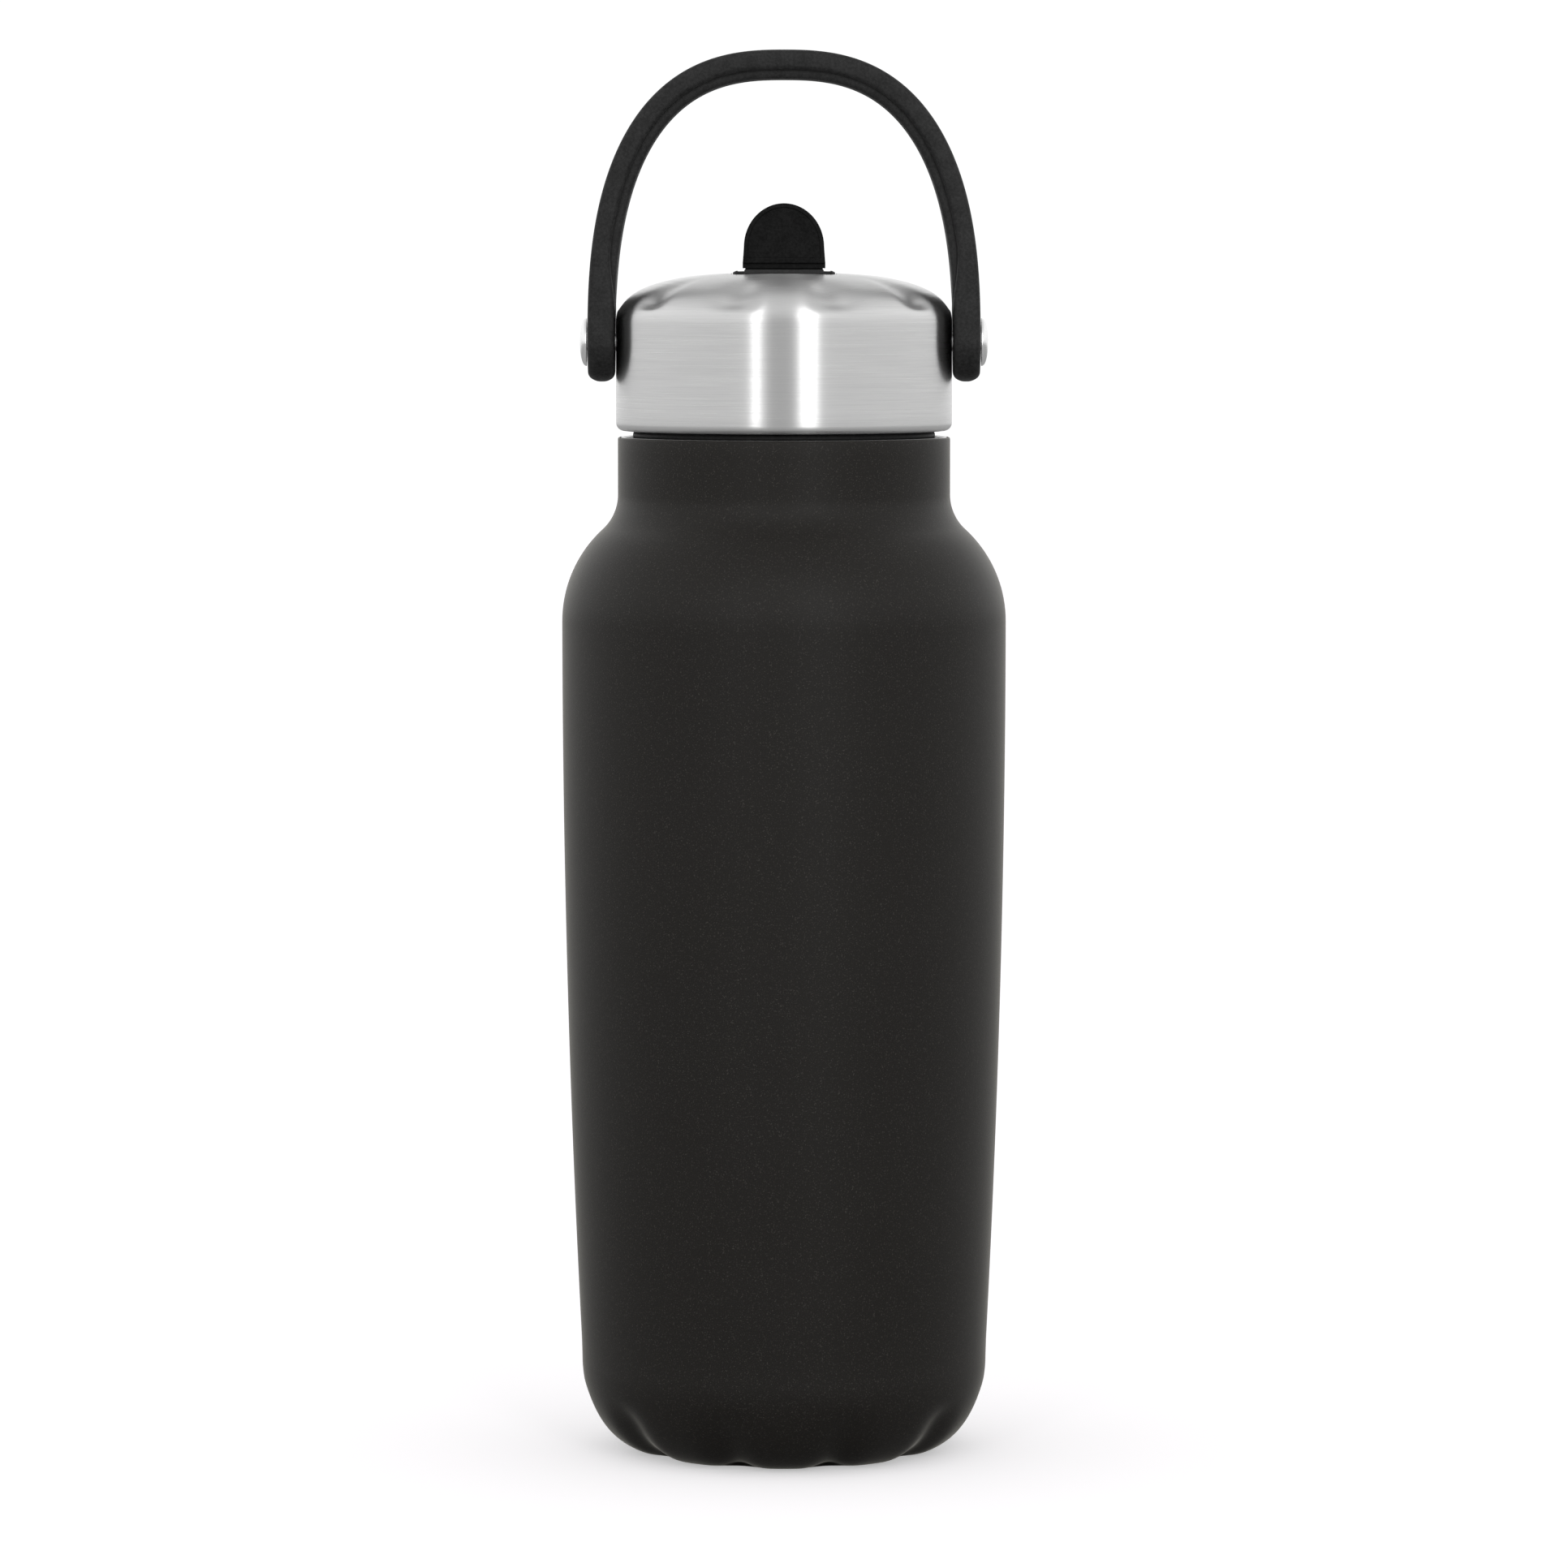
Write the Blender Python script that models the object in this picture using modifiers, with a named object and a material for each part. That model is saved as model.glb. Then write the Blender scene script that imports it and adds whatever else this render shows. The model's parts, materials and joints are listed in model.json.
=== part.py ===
"""Insulated water bottle: a vacuum flask body, a screw-in lid with a flip-up straw spout, and a bail handle.

Metres, +Z up. The origin is the centre of the base where the bottle stands, and the lid's front is at -Y.
"""

import math

import bmesh
import bpy
from mathutils import Matrix, Vector

# Body
BODY_R = 0.0450
NECK_R = 0.03365
NECK_TOP = 0.2064
NECK_EDGE_R = 0.0010
SHOULDER_START = 0.1690
SHOULDER_CONVEX_R = 0.0252
SHOULDER_CONCAVE_R = 0.0096
TAPER = 0.0037
CUP_SEAM = 0.0223
CUP_WALL_TOP_R = 0.0412
CORNER_HEIGHT = 0.0187
CORNER_WIDTH = 0.0139
FOOT_WIDTH = 0.0030
SHELL_WALL = 0.0005
WALL_RINGS = (0.125, 0.075)
RECESS_HEIGHT = 0.0021
RECESS_SLOPE = 0.0018
PORT_R = 0.0030
SOLDER_R = 0.0026
SOLDER_LOW = 0.00205
SOLDER_HIGH = 0.0034
DISC_R = 0.0200
DISC_EDGE = 0.0004
DISC_LOW = 0.0011
DISC_HIGH = 0.0017

# Liner, inside the vacuum gap
LINER_R = 0.0420
LINER_NECK_R = 0.0315
LINER_WALL = 0.0004
LINER_FLOOR = 0.0072
LINER_CORNER_R = 0.0110
LIP_R = 0.0332
LIP_ROUND = 0.0004
LINER_SHOULDER = 0.1670
LINER_CONVEX_R = 0.0230
LINER_CONCAVE_R = 0.0115
LINER_WALL_END = 0.0300
FOIL = 0.00015
GETTER_R = 0.0060
GETTER_HEIGHT = 0.0014

# Screw thread between the liner's neck and the lid's plug
THREAD_PITCH = 0.0040
THREAD_START = 0.1955
LINER_THREAD_TURNS = 1.5
PLUG_THREAD_TURNS = 1.25
PLUG_R = 0.0295
PLUG_BOTTOM = 0.1906
PLUG_WALL = 0.0026
THREAD_HEIGHT = 0.0011
THREAD_SUNK = 0.0002
LINER_THREAD = (0.0027, 0.0015)
PLUG_THREAD = (0.0020, 0.0011)

# Lid
LID_R = 0.0340
LID_RIM = 0.2076
LID_TOP = 0.2397
LID_RIM_ROUND = 0.0016
CROWN_HEIGHT = 0.0108
CROWN_POWER = 2.85
LID_WALL = 0.0005
CORE_WALL_HIGH = 0.2275
CORE_WALL_LOW = 0.2102
CORE_CAVITY_R = 0.0304
FLANGE_R = 0.0317
FLANGE_HIGH = 0.2088
SEAT_DEPTH = 0.0008
SEAT_HIGH = 0.2080
SEAT_LOW = 0.2036
GASKET_R = 0.0306
CAP_R = 0.0293
CAP_HEIGHT = 0.0015
CAP_DEPTH = 0.0020
FOAM_TOP = 0.2045
FOAM_VENT_R = 0.0036
HOLE_LOW = 0.1800
HOLE_HIGH = 0.2100
PIVOT_BORE_START = 0.0260

# Ten shallow flutes in the lid's crown and in the base's corner, one lobe facing the front
LOBES = 10
FLUTE_DEPTH_LID = 0.0012
FLUTE_DEPTH_BASE = 0.0010
CROWN_FLUTE_START = 0.2318
CROWN_FLUTE_RISE = 0.0030
CROWN_FLUTE_INNER_R = 0.0190
CROWN_FLUTE_FADE = 0.0100
BASE_FLUTE_TOP = 0.0125
BASE_FLUTE_RISE = 0.0075
BASE_FLUTE_MARGIN = 0.0010
BASE_FLUTE_FADE = 0.0030

# Flip-up spout and the well it folds into
SPOUT_Y = -0.0060
SPOUT_AXIS_Z = 0.2350
BARREL_R = 0.0044
BARREL_WIDTH = 0.0168
TAB_WIDTH = 0.0161
TAB_FLARE = 0.00025
TAB_TOP = 0.2534
TAB_BOTTOM = 0.2404
TAB_THICKNESS = 0.0026
TAB_ARCH = 0.0087
MOUTHPIECE_R = 0.0033
DRINK_BORE_R = 0.0020
WELL_WIDTH = 0.0206
WELL_FRONT = -0.0126
WELL_BACK = 0.0182
WELL_TOP = 0.2402
WELL_FLOOR = 0.2299
WELL_WALL = 0.0017
WELL_BASE = 0.0016
WELL_CORNER_R = 0.0032
WELL_RIM_EDGE = 0.0009
WELL_OPENING_LOW = 0.2240
ROOM_CORNER_R = 0.0006
PIN_R = 0.0010
PIN_HOLE_START = 0.0070
PIN_BORE_START = 0.0049
PIN_START = 0.0053
PIN_END = 0.0101
BLOCK_HALF = 0.0078
BLOCK_FRONT = 0.0043
BLOCK_BACK = 0.0036
BLOCK_LIFT = 0.0010
BLOCK_TOP = 0.2415
BLOCK_CORNER_R = 0.0008
CHANNEL_LOW = 0.2280
CHANNEL_HIGH = 0.2440
MOUTHPIECE_TOP = 0.2514
MOUTHPIECE_OVAL = 1.35

# Bail handle
PIVOT_Z = 0.2255
BAIL_HALF_WIDTH = 0.0396
BAIL_HEIGHT = 0.0587
BAIL_POWER = 2.55
BAIL_THICKNESS = 0.00585
BAIL_LEG_THICKNESS = 0.00525
BAIL_DEPTH = 0.0165
BAIL_LEG_END = 0.0080
BAIL_CHAMFER = 0.0008
LINING_THICKNESS = 0.0018
LINING_DEPTH = 0.0134
LINING_CHAMFER = 0.0005
RIVET_R = 0.0019
RIVET_HEAD_R = 0.00485
SPACER_R = 0.0040
LINING_SHORT = 0.0014
RIVET_DOME = 0.0014
RIVET_TAIL_R = 0.0029
RIVET_TAIL = 0.0286
RIVET_END = 0.0275
WASHER_R = 0.0041
WASHER_OUT = 0.0295
WASHER_IN = 0.0289

# Drinking path through the lid
VENT_Y = 0.0130
STUB_R = 0.0056
POCKET_R = 0.0046
TUBE_R = 0.0036
STRAW_R = 0.0035
STRAW_BORE_R = 0.0028
STRAW_BOTTOM = 0.0120
STRAW_TOP = 0.1877
TUBE_BORE_R = 0.0019
TUBE_TOP = 0.2269
TUBE_FLANGE_LOW = 0.2252
NIPPLE_TOP = 0.1880
NIPPLE_TIP = 0.1810
NIPPLE_LOW = 0.1796
SEAL_TOP = 0.2303
SEAL_EDGE = 0.0005
SEAL_LOW = 0.2272
STUB_LOW = 0.2245
WELL_VENT_R = 0.0009
VALVE_HEAD_R = 0.0030
VALVE_HEAD = 0.0010
VALVE_SHANK_R = 0.0019
VALVE_BORE_R = 0.0008
VALVE_TAPER = 0.1880
VALVE_LOW = 0.1852

GAP = 0.0003
OVERSHOOT = 0.0020
OUTER_STEPS = 40
INNER_STEPS = 24
MERGE = 0.00001

parts = None
cutters = None


# ---- helpers -------------------------------------------------------------------------------------


def clear_scene():
    for obj in list(bpy.data.objects):
        bpy.data.objects.remove(obj, do_unlink=True)


def new_collection(name, hidden):
    collection = bpy.data.collections.new(name)
    collection.hide_render = hidden
    bpy.context.scene.collection.children.link(collection)
    return collection


def material(name, colour, roughness, metallic=0.0):
    made = bpy.data.materials.new(name)
    made.use_nodes = True
    shader = made.node_tree.nodes["Principled BSDF"]
    shader.inputs["Base Color"].default_value = (*colour, 1.0)
    shader.inputs["Roughness"].default_value = roughness
    shader.inputs["Metallic"].default_value = metallic
    made.diffuse_color = (*colour, 1.0)
    return made


def add_part(name, mesh, finish, pivot=(0.0, 0.0, 0.0)):
    """Makes a sub-part from a mesh whose points are in world space. A moving piece's origin is put on its axis."""
    obj = bpy.data.objects.new(name, mesh)
    parts.objects.link(obj)
    mesh.materials.clear()
    mesh.materials.append(finish)
    mesh.transform(Matrix.Translation(-Vector(pivot)))
    obj.location = pivot
    mesh.shade_smooth()
    mesh.set_sharp_from_angle(angle=math.radians(32))
    return obj


def add_cutter(name, mesh):
    obj = bpy.data.objects.new(name, mesh)
    cutters.objects.link(obj)
    obj.hide_render = True
    obj.display_type = "WIRE"
    return obj


def mesh_from(bm, name):
    bmesh.ops.recalc_face_normals(bm, faces=bm.faces[:])
    mesh = bpy.data.meshes.new(name)
    bm.to_mesh(mesh)
    bm.free()
    return mesh


def evaluated_mesh(obj):
    """The mesh that an object shows with its modifiers, with the loose caps of a curve welded."""
    bpy.context.view_layer.update()
    graph = bpy.context.evaluated_depsgraph_get()
    mesh = bpy.data.meshes.new_from_object(obj.evaluated_get(graph))
    bm = bmesh.new()
    bm.from_mesh(mesh)
    bm.transform(obj.matrix_world)
    bmesh.ops.remove_doubles(bm, verts=bm.verts[:], dist=MERGE)
    bpy.data.meshes.remove(mesh)
    return mesh_from(bm, obj.name)


def turned(name, profile, steps=INNER_STEPS, closed=True, centre=(0.0, 0.0)):
    """A profile of (radius, height) points turned about a vertical line. An open profile starts and ends on it."""
    mesh = bpy.data.meshes.new(name)
    edges = [(i, i + 1) for i in range(len(profile) - 1)]
    if closed:
        edges.append((len(profile) - 1, 0))
    mesh.from_pydata([(r, 0.0, z) for r, z in profile], edges, [])
    guide = add_cutter(name + "_profile", mesh)
    screw = guide.modifiers.new("Turn", "SCREW")
    screw.steps = steps
    screw.render_steps = steps
    screw.use_merge_vertices = True
    screw.merge_threshold = MERGE
    guide.location = (centre[0], centre[1], 0.0)
    made = evaluated_mesh(guide)
    bpy.data.objects.remove(guide)
    return made


def combine(name, mesh, others, operation):
    """Cuts meshes from a mesh, or joins them to it, with one exact Boolean each."""
    base = add_cutter(name, mesh)
    for number, other in enumerate(others):
        tool = add_cutter(f"{name}_tool_{number}", other)
        step = base.modifiers.new(f"Step {number}", "BOOLEAN")
        step.operation = operation
        step.solver = "EXACT"
        step.object = tool
    made = evaluated_mesh(base)
    for obj in [base] + [step.object for step in base.modifiers]:
        bpy.data.objects.remove(obj)
    return made


def rod(name, radius, start, end, steps=24):
    """A closed cylinder between two points on a line along X or Z."""
    bm = bmesh.new()
    length = sum((b - a) ** 2 for a, b in zip(start, end)) ** 0.5
    bmesh.ops.create_cone(bm, cap_ends=True, segments=steps, radius1=radius, radius2=radius, depth=length)
    if abs(start[0] - end[0]) > MERGE:
        bmesh.ops.rotate(bm, verts=bm.verts[:], matrix=Matrix.Rotation(math.radians(90), 3, "Y"))
    middle = [(a + b) / 2 for a, b in zip(start, end)]
    bmesh.ops.translate(bm, verts=bm.verts[:], vec=middle)
    return mesh_from(bm, name)


def rounded_box(name, low, high, corner, top_edge=0.0):
    """A box with rounded upright edges and, where asked, a chamfer round its top face."""
    bm = bmesh.new()
    bmesh.ops.create_cube(bm, size=1.0)
    bmesh.ops.scale(bm, verts=bm.verts[:], vec=[b - a for a, b in zip(low, high)])
    bmesh.ops.translate(bm, verts=bm.verts[:], vec=[(a + b) / 2 for a, b in zip(low, high)])
    upright = [e for e in bm.edges if abs(e.verts[0].co.z - e.verts[1].co.z) > MERGE]
    bmesh.ops.bevel(bm, geom=upright, offset=corner, segments=3, profile=0.5, affect="EDGES", material=-1)
    if top_edge:
        rim = [e for e in bm.edges if min(v.co.z for v in e.verts) > high[2] - MERGE]
        bmesh.ops.bevel(bm, geom=rim, offset=top_edge, segments=1, profile=0.5, affect="EDGES", material=-1)
    return mesh_from(bm, name)


def arc(centre_r, centre_z, radius, start, end, steps):
    """Points on an arc in the profile plane, from one angle to the other in degrees, both ends included."""
    angles = [math.radians(start + (end - start) * i / steps) for i in range(steps + 1)]
    return [(centre_r + radius * math.cos(a), centre_z + radius * math.sin(a)) for a in angles]


def inset(profile, distance):
    """A profile moved sideways towards its right-hand side, for a wall of even thickness or a gap."""
    moved = []
    for i, (r, z) in enumerate(profile):
        before = profile[max(i - 1, 0)]
        after = profile[min(i + 1, len(profile) - 1)]
        run_r, run_z = after[0] - before[0], after[1] - before[1]
        length = math.hypot(run_r, run_z)
        moved.append((r + distance * run_z / length, z - distance * run_r / length))
    return moved


def flute(mesh, depth, weight, lift):
    """Presses LOBES grooves into a turned mesh, inwards and up or down, between lobes that start at the front."""
    for vertex in mesh.vertices:
        x, y, z = vertex.co
        radius = math.hypot(x, y)
        if radius < MERGE:
            continue
        from_front = math.atan2(y, x) + math.pi / 2
        groove = ((1 - math.cos(LOBES * from_front)) / 2) ** 3
        press = depth * groove * weight(radius, z) * math.sqrt(0.5)
        vertex.co.x -= press * x / radius
        vertex.co.y -= press * y / radius
        vertex.co.z += press * lift


def thread_ridge(name, root_r, crest_r, root_width, crest_width, start_z, turns):
    """A helical ridge with a flat crest. It is made by spinning its section round and up."""
    steps = round(turns * INNER_STEPS)
    bm = bmesh.new()
    section = [
        (root_r, start_z + root_width / 2),
        (crest_r, start_z + crest_width / 2),
        (crest_r, start_z - crest_width / 2),
        (root_r, start_z - root_width / 2),
    ]
    verts = [bm.verts.new((r, 0.0, z)) for r, z in section]
    face = bm.faces.new(verts)
    bmesh.ops.spin(
        bm,
        geom=[face] + face.edges[:] + verts,
        axis=(0, 0, 1),
        cent=(0, 0, 0),
        dvec=(0, 0, THREAD_PITCH * turns / steps),
        angle=math.tau * turns,
        steps=steps,
    )
    return mesh_from(bm, name)


# ---- bottle body ---------------------------------------------------------------------------------


def shoulder(neck_r, body_r, start_z, convex_r, concave_r):
    """The two tangent arcs that lead from the neck down to the body."""
    across = (neck_r + concave_r) - (body_r - convex_r)
    up = math.sqrt((convex_r + concave_r) ** 2 - across**2)
    meet = math.degrees(math.atan2(up, across))
    upper = arc(neck_r + concave_r, start_z + up, concave_r, 180, 180 + meet, 3)
    lower = arc(body_r - convex_r, start_z, convex_r, meet, 0, 4)
    return upper + lower[1:]


def body_radius(z):
    """The body narrows towards the base along a gentle curve."""
    down = max(0.0, (SHOULDER_START - z) / (SHOULDER_START - CUP_SEAM))
    return BODY_R - TAPER * down**2


def shell_profile():
    curve = shoulder(NECK_R, BODY_R, SHOULDER_START, SHOULDER_CONVEX_R, SHOULDER_CONCAVE_R)
    edge = arc(NECK_R - NECK_EDGE_R, NECK_TOP - 3 * GAP - NECK_EDGE_R, NECK_EDGE_R, 80, 0, 2)
    wall = [(body_radius(z), z) for z in (*WALL_RINGS, CUP_SEAM + GAP)]
    return edge + curve + wall


def make_outer_shell(paint):
    outer = shell_profile()
    inner = inset(outer, SHELL_WALL)
    add_part("outer_shell", turned("outer_shell", outer + inner[::-1], steps=OUTER_STEPS), paint)


def corner_profile():
    """The cup's tall rounded corner, from its short straight wall down to the flat foot ring."""
    foot_r = CUP_WALL_TOP_R - CORNER_WIDTH
    angles = [math.radians(90 * i / 7) for i in range(8)]
    return [
        (foot_r + CORNER_WIDTH * math.cos(a), CORNER_HEIGHT * (1 - math.sin(a)))
        for a in angles
    ]


def base_flute_weight(radius, z):
    foot_r = CUP_WALL_TOP_R - CORNER_WIDTH
    up = min(1.0, max(0.0, (BASE_FLUTE_TOP - z) / BASE_FLUTE_RISE))
    out = min(1.0, max(0.0, (radius - foot_r - BASE_FLUTE_MARGIN) / BASE_FLUTE_FADE))
    return math.sin(up * math.pi / 2) ** 2 * out


def make_base_cup(paint):
    foot_r = CUP_WALL_TOP_R - CORNER_WIDTH
    recess_r = foot_r - FOOT_WIDTH - RECESS_SLOPE
    outer = [(CUP_WALL_TOP_R, CUP_SEAM)] + corner_profile()
    outer += [(foot_r - FOOT_WIDTH, 0.0), (recess_r, RECESS_HEIGHT), (PORT_R, RECESS_HEIGHT)]
    inner = inset(outer, SHELL_WALL)
    inner[-1] = (PORT_R, RECESS_HEIGHT + SHELL_WALL)
    mesh = turned("base_cup", outer + inner[::-1], steps=OUTER_STEPS)
    flute(mesh, FLUTE_DEPTH_BASE, base_flute_weight, 1.0)
    add_part("base_cup", mesh, paint)


def make_vacuum_closure(steel, solder, getter_metal):
    plug = [(0.0, SOLDER_HIGH), (SOLDER_R, SOLDER_HIGH - GAP), (SOLDER_R, SOLDER_LOW), (0.0, SOLDER_LOW)]
    add_part("vacuum_seal_plug", turned("vacuum_seal_plug", plug, steps=20, closed=False), solder)
    disc = [(0.0, DISC_HIGH), (DISC_R - DISC_EDGE, DISC_HIGH), (DISC_R, (DISC_HIGH + DISC_LOW) / 2)]
    disc += [(DISC_R - DISC_EDGE, DISC_LOW), (0.0, DISC_LOW)]
    add_part("base_disc", turned("base_disc", disc, steps=24, closed=False), steel)
    getter_top = LINER_FLOOR - GAP
    getter_low = getter_top - GETTER_HEIGHT
    getter = [(0.0, getter_top), (GETTER_R, getter_top), (GETTER_R, getter_low), (0.0, getter_low)]
    add_part("getter", turned("getter", getter, steps=20, closed=False), getter_metal)


def liner_profile():
    curve = shoulder(LINER_NECK_R, LINER_R, LINER_SHOULDER, LINER_CONVEX_R, LINER_CONCAVE_R)
    slope = LINER_R - BODY_R
    wall = [(body_radius(z) + slope, z) for z in WALL_RINGS]
    floor_r = body_radius(LINER_WALL_END) + slope - LINER_CORNER_R
    corner = arc(floor_r, LINER_FLOOR + LINER_CORNER_R, LINER_CORNER_R, -10, -90, 4)
    return curve + wall + corner + [(0.0, LINER_FLOOR)]


def make_inner_liner(steel):
    outer = liner_profile()
    inner = inset(outer, LINER_WALL)
    inner[-1] = (0.0, LINER_FLOOR + LINER_WALL)
    bore_r = LINER_NECK_R - LINER_WALL
    lip_low = NECK_TOP - 2 * GAP
    lip = [(bore_r, NECK_TOP - GAP), (bore_r + LIP_ROUND, NECK_TOP), (LIP_R - LIP_ROUND, NECK_TOP)]
    lip += [(LIP_R, NECK_TOP - GAP), (LIP_R, lip_low + LIP_ROUND / 2), (LINER_NECK_R, lip_low)]
    mesh = turned("inner_liner", inner[::-1] + lip + outer, closed=False)
    root_r = bore_r + THREAD_SUNK
    crest_r = bore_r - THREAD_HEIGHT
    ridge = thread_ridge("liner_thread", root_r, crest_r, *LINER_THREAD, THREAD_START, LINER_THREAD_TURNS)
    mesh = combine("inner_liner", mesh, [ridge], "UNION")
    add_part("inner_liner", mesh, steel)


def make_heat_foil(copper):
    offset = LINER_R - BODY_R + GAP
    outer = [(body_radius(z) + offset + FOIL, z) for z in WALL_RINGS]
    inner = inset(outer, FOIL)
    add_part("heat_shield_foil", turned("heat_shield_foil", outer + inner[::-1]), copper)


# ---- lid -----------------------------------------------------------------------------------------


def crown_profile(steps):
    """The lid's domed top in section, from its centre out to where the straight wall starts."""
    points = []
    for i in range(steps + 1):
        angle = math.radians(90 * i / steps)
        out = math.sin(angle) ** (2 / CROWN_POWER)
        up = max(0.0, math.cos(angle)) ** (2 / CROWN_POWER)
        points.append((LID_R * out, LID_TOP - CROWN_HEIGHT * (1 - up)))
    points[0] = (0.0, LID_TOP)
    return points


def crown_flute_weight(radius, z):
    down = min(1.0, max(0.0, (z - CROWN_FLUTE_START) / CROWN_FLUTE_RISE))
    out = min(1.0, max(0.0, (radius - CROWN_FLUTE_INNER_R) / CROWN_FLUTE_FADE))
    return math.sin(down * math.pi / 2) ** 2 * math.sin(out * math.pi / 2) ** 2


def well_outline(name, extra, top):
    low = (-WELL_WIDTH / 2 - extra, WELL_FRONT - extra, WELL_OPENING_LOW)
    high = (WELL_WIDTH / 2 + extra, WELL_BACK + extra, top)
    return rounded_box(name, low, high, WELL_CORNER_R + extra)


def pivot_bores(radius):
    reach = LID_R + OVERSHOOT
    return [
        rod(f"pivot_bore_{side}", radius, (side * PIVOT_BORE_START, 0, PIVOT_Z), (side * reach, 0, PIVOT_Z), 20)
        for side in (-1, 1)
    ]


def make_lid_shell(steel):
    rim_z = LID_RIM + LID_RIM_ROUND
    outer = crown_profile(9) + arc(LID_R - LID_RIM_ROUND, rim_z, LID_RIM_ROUND, 0, -90, 3)
    inner = inset(outer, LID_WALL)
    inner[0] = (0.0, LID_TOP - LID_WALL)
    inner[-1] = (LID_R - LID_RIM_ROUND, LID_RIM + LID_WALL)
    mesh = turned("lid_shell", outer + inner[::-1], steps=OUTER_STEPS, closed=False)
    flute(mesh, FLUTE_DEPTH_LID, crown_flute_weight, -1.0)
    cuts = [well_outline("shell_opening", GAP, LID_TOP + OVERSHOOT)] + pivot_bores(RIVET_R + GAP)
    mesh = combine("lid_shell", mesh, cuts, "DIFFERENCE")
    add_part("lid_shell", mesh, steel)


def make_lid_core(plastic):
    outer = inset(crown_profile(8)[:-1], LID_WALL + FLUTE_DEPTH_LID + GAP)
    outer[0] = (0.0, LID_TOP - LID_WALL - FLUTE_DEPTH_LID - GAP)
    rim_r = LID_R - LID_WALL - GAP
    seat_r = PLUG_R - SEAT_DEPTH
    outer += [(rim_r, CORE_WALL_HIGH), (rim_r, CORE_WALL_LOW), (FLANGE_R, FLANGE_HIGH), (FLANGE_R, SEAT_HIGH)]
    outer += [(seat_r, SEAT_HIGH), (seat_r, SEAT_LOW), (PLUG_R, SEAT_LOW), (PLUG_R, PLUG_BOTTOM)]
    bore_r = PLUG_R - PLUG_WALL
    cavity = [(bore_r, PLUG_BOTTOM), (bore_r, 0.2050), (CORE_CAVITY_R, 0.2110), (CORE_CAVITY_R, 0.2300)]
    cavity += [(0.0272, 0.2322), (0.0200, 0.2338), (0.0, 0.2342)]
    mesh = turned("lid_core", outer + cavity, closed=False)
    root_r = PLUG_R - THREAD_SUNK
    crest_r = PLUG_R + THREAD_HEIGHT
    start_z = THREAD_START - THREAD_PITCH / 2
    ridge = thread_ridge("plug_thread", root_r, crest_r, *PLUG_THREAD, start_z, PLUG_THREAD_TURNS)
    mesh = combine("lid_core", mesh, [ridge], "UNION")
    cuts = [well_outline("core_opening", GAP, LID_TOP + OVERSHOOT)] + pivot_bores(RIVET_R + GAP)
    mesh = combine("lid_core", mesh, cuts, "DIFFERENCE")
    add_part("lid_core", mesh, plastic)


def make_gasket(silicone):
    inner_r = PLUG_R - SEAT_DEPTH + GAP
    outer_r = GASKET_R
    low = SEAT_LOW + GAP
    high = SEAT_HIGH - GAP
    profile = [(outer_r - 0.0004, high), (outer_r, high - 0.0005), (outer_r, low + 0.0005)]
    profile += [(outer_r - 0.0004, low), (inner_r, low), (inner_r, high)]
    add_part("lid_gasket", turned("lid_gasket", profile), silicone)


def make_plug_cap(plastic):
    top = PLUG_BOTTOM + CAP_HEIGHT
    spigot_r = PLUG_R - PLUG_WALL - GAP
    seam = PLUG_BOTTOM - GAP
    low = PLUG_BOTTOM - CAP_DEPTH
    profile = [(0.0, top), (spigot_r, top), (spigot_r, seam), (CAP_R, seam), (CAP_R, low + 0.0008)]
    profile += [(CAP_R - 0.0008, low), (0.0, low)]
    mesh = turned("plug_cap", profile, closed=False)
    holes = [
        rod("cap_tube_hole", TUBE_R + GAP, (0, SPOUT_Y, HOLE_LOW), (0, SPOUT_Y, HOLE_HIGH)),
        rod("cap_vent_hole", VALVE_SHANK_R + GAP, (0, VENT_Y, HOLE_LOW), (0, VENT_Y, HOLE_HIGH), 16),
    ]
    add_part("plug_cap", combine("plug_cap", mesh, holes, "DIFFERENCE"), plastic)


def make_insulation(foam):
    low = PLUG_BOTTOM + CAP_HEIGHT + GAP
    foam_r = PLUG_R - PLUG_WALL - GAP
    profile = [(0.0, FOAM_TOP), (foam_r, FOAM_TOP), (foam_r, low), (0.0, low)]
    mesh = turned("lid_insulation", profile, closed=False)
    holes = [
        rod("foam_tube_hole", TUBE_R + GAP, (0, SPOUT_Y, HOLE_LOW), (0, SPOUT_Y, HOLE_HIGH)),
        rod("foam_vent_hole", FOAM_VENT_R, (0, VENT_Y, HOLE_LOW), (0, VENT_Y, HOLE_HIGH), 16),
    ]
    add_part("lid_insulation", combine("lid_insulation", mesh, holes, "DIFFERENCE"), foam)


# ---- drinking path -------------------------------------------------------------------------------


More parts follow.
